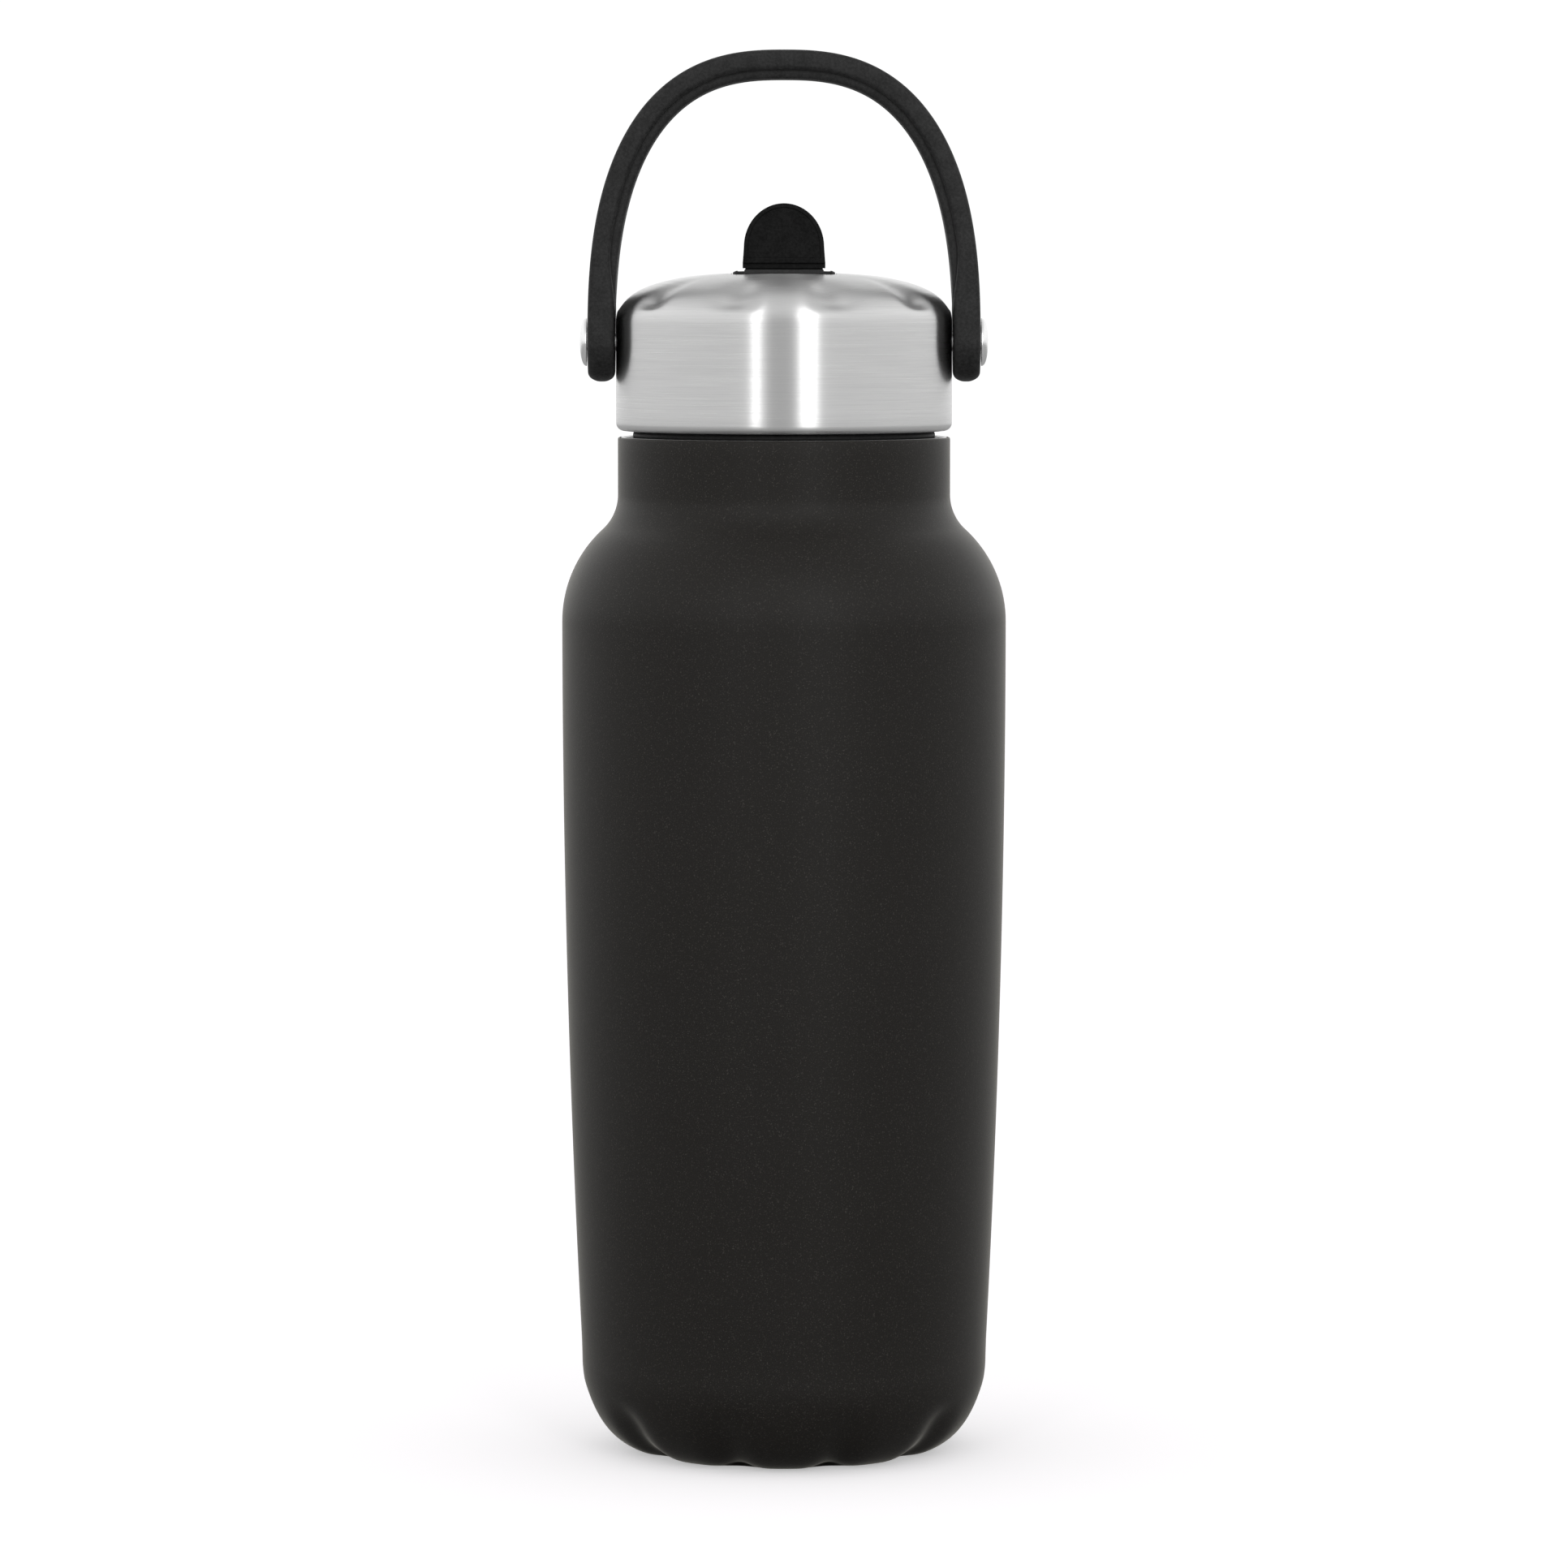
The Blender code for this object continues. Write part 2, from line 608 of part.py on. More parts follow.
def make_spout_well(plastic):
    low = (-WELL_WIDTH / 2, WELL_FRONT, WELL_FLOOR - WELL_BASE)
    high = (WELL_WIDTH / 2, WELL_BACK, WELL_TOP)
    body = rounded_box("spout_well", low, high, WELL_CORNER_R, top_edge=WELL_RIM_EDGE)
    stub = rod("well_stub", STUB_R, (0, SPOUT_Y, STUB_LOW), (0, SPOUT_Y, WELL_FLOOR - 0.0005))
    body = combine("spout_well", body, [stub], "UNION")
    room_low = (-WELL_WIDTH / 2 + WELL_WALL, WELL_FRONT + WELL_WALL, WELL_FLOOR)
    room_high = (WELL_WIDTH / 2 - WELL_WALL, WELL_BACK - WELL_WALL, WELL_TOP + OVERSHOOT)
    bore_low = STUB_LOW - OVERSHOOT
    bore_high = WELL_FLOOR + OVERSHOOT
    cuts = [
        rounded_box("well_room", room_low, room_high, ROOM_CORNER_R),
        rod("seal_pocket", POCKET_R, (0, SPOUT_Y, bore_low), (0, SPOUT_Y, bore_high)),
        rod("well_vent", WELL_VENT_R, (0, VENT_Y, bore_low), (0, VENT_Y, bore_high), 12),
    ]
    reach = WELL_WIDTH / 2 + OVERSHOOT
    for side in (-1, 1):
        cuts.append(
            rod(f"pin_hole_{side}", PIN_R + GAP, (side * PIN_HOLE_START, SPOUT_Y, SPOUT_AXIS_Z),
                (side * reach, SPOUT_Y, SPOUT_AXIS_Z), 16)
        )
    add_part("spout_well", combine("spout_well", body, cuts, "DIFFERENCE"), plastic)


def make_spout_seal(silicone):
    outer_r = POCKET_R - GAP
    bore_r = DRINK_BORE_R
    profile = [(bore_r, SEAL_TOP), (outer_r - SEAL_EDGE, SEAL_TOP), (outer_r, SEAL_TOP - SEAL_EDGE)]
    profile += [(outer_r, SEAL_LOW), (bore_r, SEAL_LOW)]
    add_part("spout_seal", turned("spout_seal", profile, steps=24, centre=(0, SPOUT_Y)), silicone)


def make_drink_tube(plastic):
    flange_r = POCKET_R - GAP
    nipple_r = STRAW_BORE_R - GAP
    profile = [(TUBE_BORE_R, TUBE_TOP), (flange_r, TUBE_TOP), (flange_r, TUBE_FLANGE_LOW)]
    profile += [(TUBE_R, TUBE_FLANGE_LOW - 2 * GAP), (TUBE_R, NIPPLE_TOP + 2 * GAP), (nipple_r, NIPPLE_TOP)]
    profile += [(nipple_r, NIPPLE_TIP), (nipple_r - GAP, NIPPLE_LOW), (TUBE_BORE_R, NIPPLE_LOW)]
    add_part("drink_tube", turned("drink_tube", profile, steps=24, centre=(0, SPOUT_Y)), plastic)


def make_straw(plastic):
    top = STRAW_TOP
    profile = [(STRAW_BORE_R, top), (STRAW_R, top), (STRAW_R, STRAW_BOTTOM), (STRAW_BORE_R, STRAW_BOTTOM)]
    add_part("straw", turned("straw", profile, steps=20, centre=(0, SPOUT_Y)), plastic)


def make_vent_valve(silicone):
    head = PLUG_BOTTOM + CAP_HEIGHT + GAP
    head_top = head + VALVE_HEAD
    profile = [(VALVE_BORE_R, head_top), (VALVE_HEAD_R, head_top), (VALVE_HEAD_R, head), (VALVE_SHANK_R, head)]
    profile += [(VALVE_SHANK_R, VALVE_TAPER), (VALVE_BORE_R + GAP, VALVE_LOW), (VALVE_BORE_R, VALVE_LOW)]
    add_part("vent_valve", turned("vent_valve", profile, steps=16, centre=(0, VENT_Y)), silicone)


def tab_outline():
    """The tab seen from the front: straight sides that flare a little at the foot, under an elliptical top."""
    half = TAB_WIDTH / 2
    spring = TAB_TOP - TAB_ARCH
    right = [(half + TAB_FLARE, TAB_BOTTOM)]
    angles = [math.radians(180 * i / 16) for i in range(17)]
    arch = [(half * math.cos(a), spring + TAB_ARCH * math.sin(a)) for a in angles]
    return right + arch + [(-half - TAB_FLARE, TAB_BOTTOM)]


def plate_mesh(name, outline, low_y, high_y, edge):
    """A flat convex outline in X and Z, as a filled curve extruded along Y, with its long edges bevelled."""
    curve = bpy.data.curves.new(name, "CURVE")
    curve.dimensions = "2D"
    curve.fill_mode = "BOTH"
    curve.extrude = (high_y - low_y) / 2
    spline = curve.splines.new("POLY")
    spline.points.add(len(outline) - 1)
    for point, (x, z) in zip(spline.points, outline):
        point.co = (x, z, 0.0, 1.0)
    spline.use_cyclic_u = True
    guide = bpy.data.objects.new(name, curve)
    cutters.objects.link(guide)
    guide.rotation_euler = (math.radians(90), 0.0, 0.0)
    guide.location = (0.0, (low_y + high_y) / 2, 0.0)
    mesh = evaluated_mesh(guide)
    bpy.data.objects.remove(guide)
    bm = bmesh.new()
    bm.from_mesh(mesh)
    bpy.data.meshes.remove(mesh)
    bmesh.ops.dissolve_limit(bm, angle_limit=math.radians(1), verts=bm.verts[:], edges=bm.edges[:])
    rim = [e for e in bm.edges if any(abs(f.normal.y) > 0.9 for f in e.link_faces)]
    bmesh.ops.bevel(bm, geom=rim, offset=edge, segments=1, profile=0.5, affect="EDGES", material=-1)
    return mesh_from(bm, name)


def make_spout(plastic, silicone):
    back_y = SPOUT_Y - MOUTHPIECE_R - 2 * GAP
    plate = plate_mesh("spout_tab", tab_outline(), back_y - TAB_THICKNESS, back_y, 0.0004)
    half = BARREL_WIDTH / 2
    barrel = rod("barrel", BARREL_R, (-half, SPOUT_Y, SPOUT_AXIS_Z), (half, SPOUT_Y, SPOUT_AXIS_Z), 32)
    block_low = (-BLOCK_HALF, SPOUT_Y - BLOCK_FRONT, SPOUT_AXIS_Z + BLOCK_LIFT)
    block_high = (BLOCK_HALF, SPOUT_Y + BLOCK_BACK, BLOCK_TOP)
    block = rounded_box("block", block_low, block_high, BLOCK_CORNER_R)
    body = combine("spout_tab", plate, [block, barrel], "UNION")
    cuts = [rod("channel", DRINK_BORE_R, (0, SPOUT_Y, CHANNEL_LOW), (0, SPOUT_Y, CHANNEL_HIGH))]
    for side in (-1, 1):
        cuts.append(
            rod(f"pin_bore_{side}", PIN_R + GAP, (side * PIN_BORE_START, SPOUT_Y, SPOUT_AXIS_Z),
                (side * (half + OVERSHOOT), SPOUT_Y, SPOUT_AXIS_Z), 16)
        )
    body = combine("spout_tab", body, cuts, "DIFFERENCE")
    axis = (0.0, SPOUT_Y, SPOUT_AXIS_Z)
    add_part("spout_tab", body, plastic, axis)
    top = MOUTHPIECE_TOP
    low = BLOCK_TOP + GAP
    bore_r = DRINK_BORE_R
    profile = [(bore_r, top), (MOUTHPIECE_R - 0.0008, top), (MOUTHPIECE_R - 0.0002, top - 0.0008)]
    profile += [(MOUTHPIECE_R - 0.0005, top - 0.0030), (MOUTHPIECE_R, low + 0.0015)]
    profile += [(MOUTHPIECE_R, low), (bore_r, low)]
    nozzle = turned("mouthpiece", profile, steps=24, centre=(0, SPOUT_Y))
    for vertex in nozzle.vertices:
        vertex.co.x *= MOUTHPIECE_OVAL
    add_part("mouthpiece", nozzle, silicone, axis)


def make_spout_pins(steel):
    for name, side in (("spout_pin_left", -1), ("spout_pin_right", 1)):
        start = (side * PIN_START, SPOUT_Y, SPOUT_AXIS_Z)
        end = (side * PIN_END, SPOUT_Y, SPOUT_AXIS_Z)
        add_part(name, rod(name, PIN_R, start, end, 16), steel)


# ---- bail handle ---------------------------------------------------------------------------------


def bail_curve(offset, steps=22):
    """Half-way round and back: one edge of the bail in X and Z, a set distance inside its outer edge."""
    points = []
    for i in range(steps + 1):
        angle = math.radians(180 * i / steps)
        c, s = math.cos(angle), math.sin(angle)
        x = math.copysign(abs(c) ** (2 / BAIL_POWER), c) * BAIL_HALF_WIDTH
        z = max(0.0, s) ** (2 / BAIL_POWER) * BAIL_HEIGHT
        points.append((x, z))
    moved = []
    for (x, z) in points:
        slope_x = math.copysign(abs(x / BAIL_HALF_WIDTH) ** (BAIL_POWER - 1) / BAIL_HALF_WIDTH, x)
        slope_z = (z / BAIL_HEIGHT) ** (BAIL_POWER - 1) / BAIL_HEIGHT
        length = math.hypot(slope_x, slope_z)
        thinner = 1 - (1 - BAIL_LEG_THICKNESS / BAIL_THICKNESS) * (1 - z / BAIL_HEIGHT)
        step = offset * thinner / length
        moved.append((x - step * slope_x, z - step * slope_z + PIVOT_Z))
    return moved


def bail_band(name, outer_offset, inner_offset, depth, leg_end, chamfer):
    """A band of the bail between two offsets, lofted through chamfered sections that narrow round the leg ends."""
    outer = bail_curve(outer_offset)
    inner = bail_curve(inner_offset)
    stations = [(Vector((a[0], 0, a[1])), Vector((b[0], 0, b[1])), depth / 2) for a, b in zip(outer, inner)]
    for degrees in (25, 50, 70, 86):
        drop = Vector((0, 0, -leg_end * math.sin(math.radians(degrees))))
        half = depth / 2 * math.cos(math.radians(degrees))
        right = [Vector((curve[0][0], 0, PIVOT_Z)) + drop for curve in (outer, inner)]
        left = [Vector((curve[-1][0], 0, PIVOT_Z)) + drop for curve in (outer, inner)]
        stations.insert(0, (*right, half))
        stations.append((*left, half))
    bm = bmesh.new()
    rings = []
    for out_point, in_point, half in stations:
        inward = (in_point - out_point).normalized()
        cut = min(chamfer, half * 0.6)
        corners = [
            (out_point, cut - half), (out_point, half - cut),
            (out_point + inward * cut, half), (in_point - inward * cut, half),
            (in_point, half - cut), (in_point, cut - half),
            (in_point - inward * cut, -half), (out_point + inward * cut, -half),
        ]
        rings.append([bm.verts.new(point + Vector((0, y, 0))) for point, y in corners])
    for ring, following in zip(rings, rings[1:]):
        for i in range(8):
            bm.faces.new((ring[i], ring[i - 1], following[i - 1], following[i]))
    bm.faces.new(rings[0])
    bm.faces.new(rings[-1][::-1])
    return mesh_from(bm, name)


def make_bail(plastic, soft):
    axis = (0.0, 0.0, PIVOT_Z)
    lining_start = BAIL_THICKNESS - LINING_THICKNESS
    strap = bail_band("handle_strap", 0.0, lining_start - GAP, BAIL_DEPTH, BAIL_LEG_END, BAIL_CHAMFER)
    reach = BAIL_HALF_WIDTH + OVERSHOOT
    bores = [
        rod(f"strap_bore_{side}", RIVET_R + GAP, (side * LID_R, 0, PIVOT_Z), (side * reach, 0, PIVOT_Z), 20)
        for side in (-1, 1)
    ]
    add_part("handle_strap", combine("handle_strap", strap, bores, "DIFFERENCE"), plastic, axis)
    lining_end = BAIL_LEG_END - LINING_SHORT
    lining = bail_band("handle_lining", lining_start, BAIL_THICKNESS, LINING_DEPTH, lining_end, LINING_CHAMFER)
    bores = [
        rod(f"lining_bore_{side}", SPACER_R + GAP, (side * LID_R, 0, PIVOT_Z), (side * reach, 0, PIVOT_Z), 24)
        for side in (-1, 1)
    ]
    add_part("handle_lining", combine("handle_lining", lining, bores, "DIFFERENCE"), soft, axis)


def sideways(mesh, side):
    """Lays a piece turned about Z along X, with its top pointing outwards, at the height of the pivots."""
    bm = bmesh.new()
    bm.from_mesh(mesh)
    name = mesh.name
    bpy.data.meshes.remove(mesh)
    bmesh.ops.rotate(bm, verts=bm.verts[:], matrix=Matrix.Rotation(math.radians(90 * side), 3, "Y"))
    bmesh.ops.translate(bm, verts=bm.verts[:], vec=(0.0, 0.0, PIVOT_Z))
    return mesh_from(bm, name)


def make_pivots(steel, nylon):
    head_base = BAIL_HALF_WIDTH + GAP
    rivet = [(0.0, head_base + RIVET_DOME), (0.0021, head_base + 0.0012), (0.0038, head_base + 0.0008)]
    rivet += [(RIVET_HEAD_R, head_base + 0.0002), (RIVET_HEAD_R, head_base), (RIVET_R, head_base)]
    rivet += [(RIVET_R, RIVET_TAIL), (RIVET_TAIL_R, RIVET_TAIL), (RIVET_TAIL_R, RIVET_END + 0.0004)]
    rivet += [(0.0022, RIVET_END), (0.0, RIVET_END)]
    hole_r = RIVET_R + GAP
    washer = [(hole_r, WASHER_OUT), (WASHER_R, WASHER_OUT), (WASHER_R, WASHER_IN), (hole_r, WASHER_IN)]
    leg_inner = BAIL_HALF_WIDTH - BAIL_LEG_THICKNESS
    strap_inner = BAIL_HALF_WIDTH - BAIL_LEG_THICKNESS * (1 - LINING_THICKNESS / BAIL_THICKNESS)
    spacer = [(RIVET_R + GAP, strap_inner), (SPACER_R, strap_inner), (SPACER_R, leg_inner - 0.00005)]
    spacer += [(RIVET_R + GAP, leg_inner - 0.00005)]
    for word, side in (("left", -1), ("right", 1)):
        mesh = turned(f"pivot_rivet_{word}", rivet, steps=16, closed=False)
        add_part(f"pivot_rivet_{word}", sideways(mesh, side), steel)
        mesh = turned(f"rivet_washer_{word}", washer, steps=16)
        add_part(f"rivet_washer_{word}", sideways(mesh, side), steel)
        mesh = turned(f"pivot_spacer_{word}", spacer, steps=16)
        add_part(f"pivot_spacer_{word}", sideways(mesh, side), nylon)


# ---- assembly ------------------------------------------------------------------------------------


def main():
    global parts, cutters
    clear_scene()
    parts = new_collection("insulated_water_bottle", False)
    cutters = new_collection("guides", True)

    powder_coat = material("powder_coat", (0.028, 0.026, 0.024), 0.55)
    brushed_steel = material("brushed_steel", (0.55, 0.55, 0.55), 0.32, 1.0)
    bare_steel = material("bare_steel", (0.62, 0.62, 0.62), 0.22, 1.0)
    copper = material("copper", (0.72, 0.36, 0.22), 0.3, 1.0)
    solder = material("solder", (0.45, 0.45, 0.47), 0.5, 1.0)
    getter_metal = material("getter_alloy", (0.20, 0.20, 0.22), 0.6, 1.0)
    black_plastic = material("black_plastic", (0.018, 0.018, 0.018), 0.5)
    soft_black = material("soft_black", (0.026, 0.026, 0.026), 0.65)
    clear_plastic = material("natural_plastic", (0.62, 0.63, 0.62), 0.35)
    silicone = material("silicone", (0.03, 0.03, 0.03), 0.6)
    foam = material("foam", (0.75, 0.73, 0.66), 0.9)
    nylon = material("nylon", (0.012, 0.012, 0.012), 0.5)

    make_outer_shell(powder_coat)
    make_base_cup(powder_coat)
    make_vacuum_closure(brushed_steel, solder, getter_metal)
    make_inner_liner(bare_steel)
    make_heat_foil(copper)

    make_lid_shell(brushed_steel)
    make_lid_core(black_plastic)
    make_gasket(silicone)
    make_plug_cap(black_plastic)
    make_insulation(foam)

    make_spout_well(black_plastic)
    make_spout_seal(silicone)
    make_drink_tube(clear_plastic)
    make_straw(clear_plastic)
    make_vent_valve(silicone)
    make_spout(black_plastic, silicone)
    make_spout_pins(bare_steel)

    make_bail(black_plastic, soft_black)
    make_pivots(brushed_steel, nylon)


main()
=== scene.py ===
"""The looks of an insulated water bottle: a coated steel flask, a screw-in lid with a flip-up spout,
and a bail."""

import json
import math
from bisect import bisect_left

import bmesh
import bpy
from mathutils import Matrix, Vector


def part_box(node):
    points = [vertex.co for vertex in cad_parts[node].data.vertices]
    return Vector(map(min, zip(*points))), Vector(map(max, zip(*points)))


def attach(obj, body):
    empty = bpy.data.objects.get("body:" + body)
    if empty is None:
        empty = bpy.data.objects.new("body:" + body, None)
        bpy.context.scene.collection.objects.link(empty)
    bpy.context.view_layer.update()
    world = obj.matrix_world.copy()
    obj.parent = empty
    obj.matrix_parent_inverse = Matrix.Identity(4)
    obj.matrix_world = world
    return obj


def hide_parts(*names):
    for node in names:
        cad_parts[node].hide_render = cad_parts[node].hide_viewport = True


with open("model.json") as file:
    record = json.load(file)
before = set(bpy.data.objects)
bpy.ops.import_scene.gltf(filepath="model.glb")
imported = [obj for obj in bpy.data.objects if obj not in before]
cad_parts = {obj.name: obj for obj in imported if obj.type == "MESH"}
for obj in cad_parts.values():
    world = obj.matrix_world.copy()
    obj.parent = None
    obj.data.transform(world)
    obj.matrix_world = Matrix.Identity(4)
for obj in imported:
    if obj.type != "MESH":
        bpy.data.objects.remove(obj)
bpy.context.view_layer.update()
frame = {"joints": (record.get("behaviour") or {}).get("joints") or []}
joints = {joint["name"]: joint for joint in frame["joints"]}


# ---- painted body --------------------------------------------------------------------------------
# The outer steel tube, spun to a shoulder and neck, and the pressed cup welded under it with ten shallow
# flutes round its corner. The weld is ground flush, and one matt powder coat covers both and hides it.

cup_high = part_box("base_cup")[1]
BODY_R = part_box("outer_shell")[1].x
CUP_R = cup_high.x
CUP_SEAM = cup_high.z
NECK_R = 0.03365
NECK_EDGE_R = 0.0004
LIP_SHOWS = 0.0001
SHOULDER_START = 0.1690
SHOULDER_CONVEX_R = 0.0252
SHOULDER_CONCAVE_R = 0.0096
TAPER = 0.0037
CORNER_WIDTH = 0.0139
CORNER_HEIGHT = 0.0187
FOOT_WIDTH = 0.0030
FOOT_ROUND = 0.0004
RECESS_HEIGHT = 0.0021
VENT_R = 0.0030
SHEET = 0.0005
LOBES = 10
BASE_FLUTE_DEPTH = 0.0015
BASE_FLUTE_TOP = 0.0145
BASE_FLUTE_RISE = 0.0080
BASE_FLUTE_MARGIN = 0.0004
BASE_FLUTE_FADE = 0.0020
FLUTED_STEPS = 320
WELD = 1e-6


def arc(centre_r, centre_z, radius, start, end, steps):
    """Points on an arc in the profile plane, from one angle to the other in degrees, both ends included."""
    angles = [math.radians(start + (end - start) * i / steps) for i in range(steps + 1)]
    return [(centre_r + radius * math.cos(a), centre_z + radius * math.sin(a)) for a in angles]


def between(start, end, steps):
    """Evenly spaced numbers after start, up to and with end."""
    return [start + (end - start) * i / steps for i in range(1, steps + 1)]


def moved_in(profile, distance):
    """The profile moved towards its right-hand side, for the inside of a sheet."""
    moved = []
    for i, (r, z) in enumerate(profile):
        before = profile[max(i - 1, 0)]
        after = profile[min(i + 1, len(profile) - 1)]
        run_r, run_z = after[0] - before[0], after[1] - before[1]
        length = math.hypot(run_r, run_z)
        moved.append((r + distance * run_z / length, z - distance * run_r / length))
    return moved


def turned(profile, steps, closed=True, centre=(0.0, 0.0)):
    """A solid of revolution about an upright line. A profile that isn't closed starts and ends on that
    line."""
    bm = bmesh.new()
    verts = [bm.verts.new((r, 0.0, z)) for r, z in profile]
    edges = [bm.edges.new(pair) for pair in zip(verts, verts[1:])]
    if closed:
        edges.append(bm.edges.new((verts[-1], verts[0])))
    bmesh.ops.spin(
        bm, geom=verts + edges, axis=(0, 0, 1), cent=(0, 0, 0), angle=math.tau, steps=steps, use_merge=True
    )
    bmesh.ops.remove_doubles(bm, verts=bm.verts[:], dist=WELD)
    bmesh.ops.translate(bm, verts=bm.verts[:], vec=(centre[0], centre[1], 0.0))
    bmesh.ops.recalc_face_normals(bm, faces=bm.faces[:])
    return bm


def press_flutes(bm, depth, weight, lift):
    """Presses grooves between lobes, inwards and up or down. The first lobe faces the front."""
    for vert in bm.verts:
        radius = math.hypot(vert.co.x, vert.co.y)
        if radius < WELD:
            continue
        from_front = math.atan2(vert.co.y, vert.co.x) + math.pi / 2
        groove = ((1 - math.cos(LOBES * from_front)) / 2) ** 3
        press = depth * groove * weight(radius, vert.co.z) * math.sqrt(0.5)
        inward = Vector((-vert.co.x, -vert.co.y, 0.0)) / radius
        vert.co += press * (inward + Vector((0.0, 0.0, lift)))


def shown(bm, name, finish, sharp=35):
    """Makes the mesh a piece with its finish, smooth but for the edges sharper than an angle in degrees."""
    mesh = bpy.data.meshes.new(name)
    bm.to_mesh(mesh)
    bm.free()
    mesh.materials.append(finish)
    mesh.shade_smooth()
    mesh.set_sharp_from_angle(angle=math.radians(sharp))
    obj = bpy.data.objects.new(name, mesh)
    bpy.context.scene.collection.objects.link(obj)
    return obj


def body_profile():
    """The painted outline from the neck's edge down to the hole in the middle of the recessed base."""
    across = (NECK_R + SHOULDER_CONCAVE_R) - (BODY_R - SHOULDER_CONVEX_R)
    up = math.sqrt((SHOULDER_CONVEX_R + SHOULDER_CONCAVE_R) ** 2 - across**2)
    meet = math.degrees(math.atan2(up, across))
    concave_z = SHOULDER_START + up
    edge_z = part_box("inner_liner")[1].z - LIP_SHOWS - NECK_EDGE_R
    line = arc(NECK_R - NECK_EDGE_R, edge_z, NECK_EDGE_R, 90, 0, 5)
    line += [(NECK_R, z) for z in between(edge_z, concave_z, 4)]
    line += arc(NECK_R + SHOULDER_CONCAVE_R, concave_z, SHOULDER_CONCAVE_R, 180, 180 + meet, 14)[1:]
    line += arc(BODY_R - SHOULDER_CONVEX_R, SHOULDER_START, SHOULDER_CONVEX_R, meet, 0, 18)[1:]
    for z in between(SHOULDER_START, CUP_SEAM, 30):
        down = (SHOULDER_START - z) / (SHOULDER_START - CUP_SEAM)
        line.append((BODY_R - TAPER * down**2, z))
    foot_r = CUP_R - CORNER_WIDTH
    for i in range(33):
        a = math.radians(90 * i / 32)
        line.append((foot_r + CORNER_WIDTH * math.cos(a), CORNER_HEIGHT * (1 - math.sin(a))))
    inside_r = foot_r - FOOT_WIDTH
    line += arc(inside_r, FOOT_ROUND, FOOT_ROUND, 270, 200, 3)
    line += [(inside_r - 0.0018, RECESS_HEIGHT - FOOT_ROUND), (inside_r - 0.0022, RECESS_HEIGHT)]
    line += [(0.0150, RECESS_HEIGHT), (VENT_R, RECESS_HEIGHT)]
    return line


def base_flute_weight(radius, z):
    """Full from the foot up to 6.5 mm, fading out by 14.5 mm, and only just reaching the foot itself."""
    up = min(1.0, max(0.0, (BASE_FLUTE_TOP - z) / BASE_FLUTE_RISE))
    foot_r = CUP_R - CORNER_WIDTH
    out = min(1.0, max(0.0, (radius - foot_r + BASE_FLUTE_MARGIN) / BASE_FLUTE_FADE))
    return math.sin(up * math.pi / 2) ** 2 * out


def node(tree, kind, inputs=None, **settings):
    """Adds a shader node. An input is a number, a colour, or another node's output to link."""
    made = tree.nodes.new("ShaderNode" + kind)
    for name, value in settings.items():
        setattr(made, name, value)
    for socket, value in (inputs or {}).items():
        if isinstance(value, bpy.types.NodeSocket):
            tree.links.new(value, made.inputs[socket])
        else:
            made.inputs[socket].default_value = value
    return made


def scaled(tree, value, low, high):
    """A 0 to 1 value as a value from low to high."""
    return node(tree, "MapRange", {"Value": value, "To Min": low, "To Max": high}).outputs["Result"]


def blended(tree, factor, first, second):
    """A colour between two others, by a 0 to 1 factor."""
    inputs = {0: factor, 6: (*first, 1.0), 7: (*second, 1.0)}
    return node(tree, "Mix", inputs, data_type="RGBA").outputs[2]


def grey(level):
    return (level, level, level)


def finish(name, roughness, metallic=0.0, **more):
    """A new material, its node tree and its shader, with the shader's plain numbers set."""
    made = bpy.data.materials.new(name)
    made.use_nodes = True
    shader = made.node_tree.nodes["Principled BSDF"]
    shader.inputs["Roughness"].default_value = roughness
    shader.inputs["Metallic"].default_value = metallic
    for socket, value in more.items():
        shader.inputs[socket.replace("_", " ")].default_value = value
    return made, made.node_tree, shader


def effect(name, inputs, outputs):
    """A new node group with named values going in and out, and its two end nodes."""
    group = bpy.data.node_groups.new(name, "ShaderNodeTree")
    for label, default in inputs.items():
        socket = group.interface.new_socket(name=label, in_out="INPUT", socket_type="NodeSocketFloat")
        socket.default_value = default
    for label in outputs:
        group.interface.new_socket(name=label, in_out="OUTPUT", socket_type="NodeSocketFloat")
    return group, group.nodes.new("NodeGroupInput"), group.nodes.new("NodeGroupOutput")


def use(tree, group, **inputs):
    """Places a node group in a material with its own values."""
    return node(tree, "Group", inputs, node_tree=group)


def grain_group():
    """Cells of fine texture, as on powder coat and moulded plastic: their height, and a slow drift of
    tone."""
    group, start, end = effect("Fine grain", {"Scale": 3000.0}, ["Height", "Tone"])
    place = node(group, "TexCoord").outputs["Object"]
    scale = start.outputs["Scale"]
    fine = node(group, "TexNoise", {"Vector": place, "Scale": scale, "Detail": 3.0, "Roughness": 0.6})
    wide_scale = node(group, "Math", {0: scale, 1: 0.23}, operation="MULTIPLY").outputs[0]
    wide = node(group, "TexNoise", {"Vector": place, "Scale": wide_scale, "Detail": 2.0})
    height = node(group, "Math", {0: wide.outputs[0], 1: 0.5, 2: fine.outputs[0]}, operation="MULTIPLY_ADD")
    drift = node(group, "TexNoise", {"Vector": place, "Scale": 45.0, "Detail": 3.0})
    group.links.new(height.outputs[0], end.inputs["Height"])
    group.links.new(drift.outputs[0], end.inputs["Tone"])
    return group


FINE_GRAIN = grain_group()


def dressed(made, colour, rough, height, strength, distance, **how):
    """Gives a material its colour, roughness and relief, each from a value that changes over the
    surface."""
    tree = made.node_tree
    shader = tree.nodes["Principled BSDF"]
    bump = node(tree, "Bump", {"Height": height, "Strength": strength, "Distance": distance}, **how)
    tree.links.new(colour, shader.inputs["Base Color"])
    if rough is not None:
        tree.links.new(rough, shader.inputs["Roughness"])
    tree.links.new(bump.outputs[0], shader.inputs["Normal"])
    return made


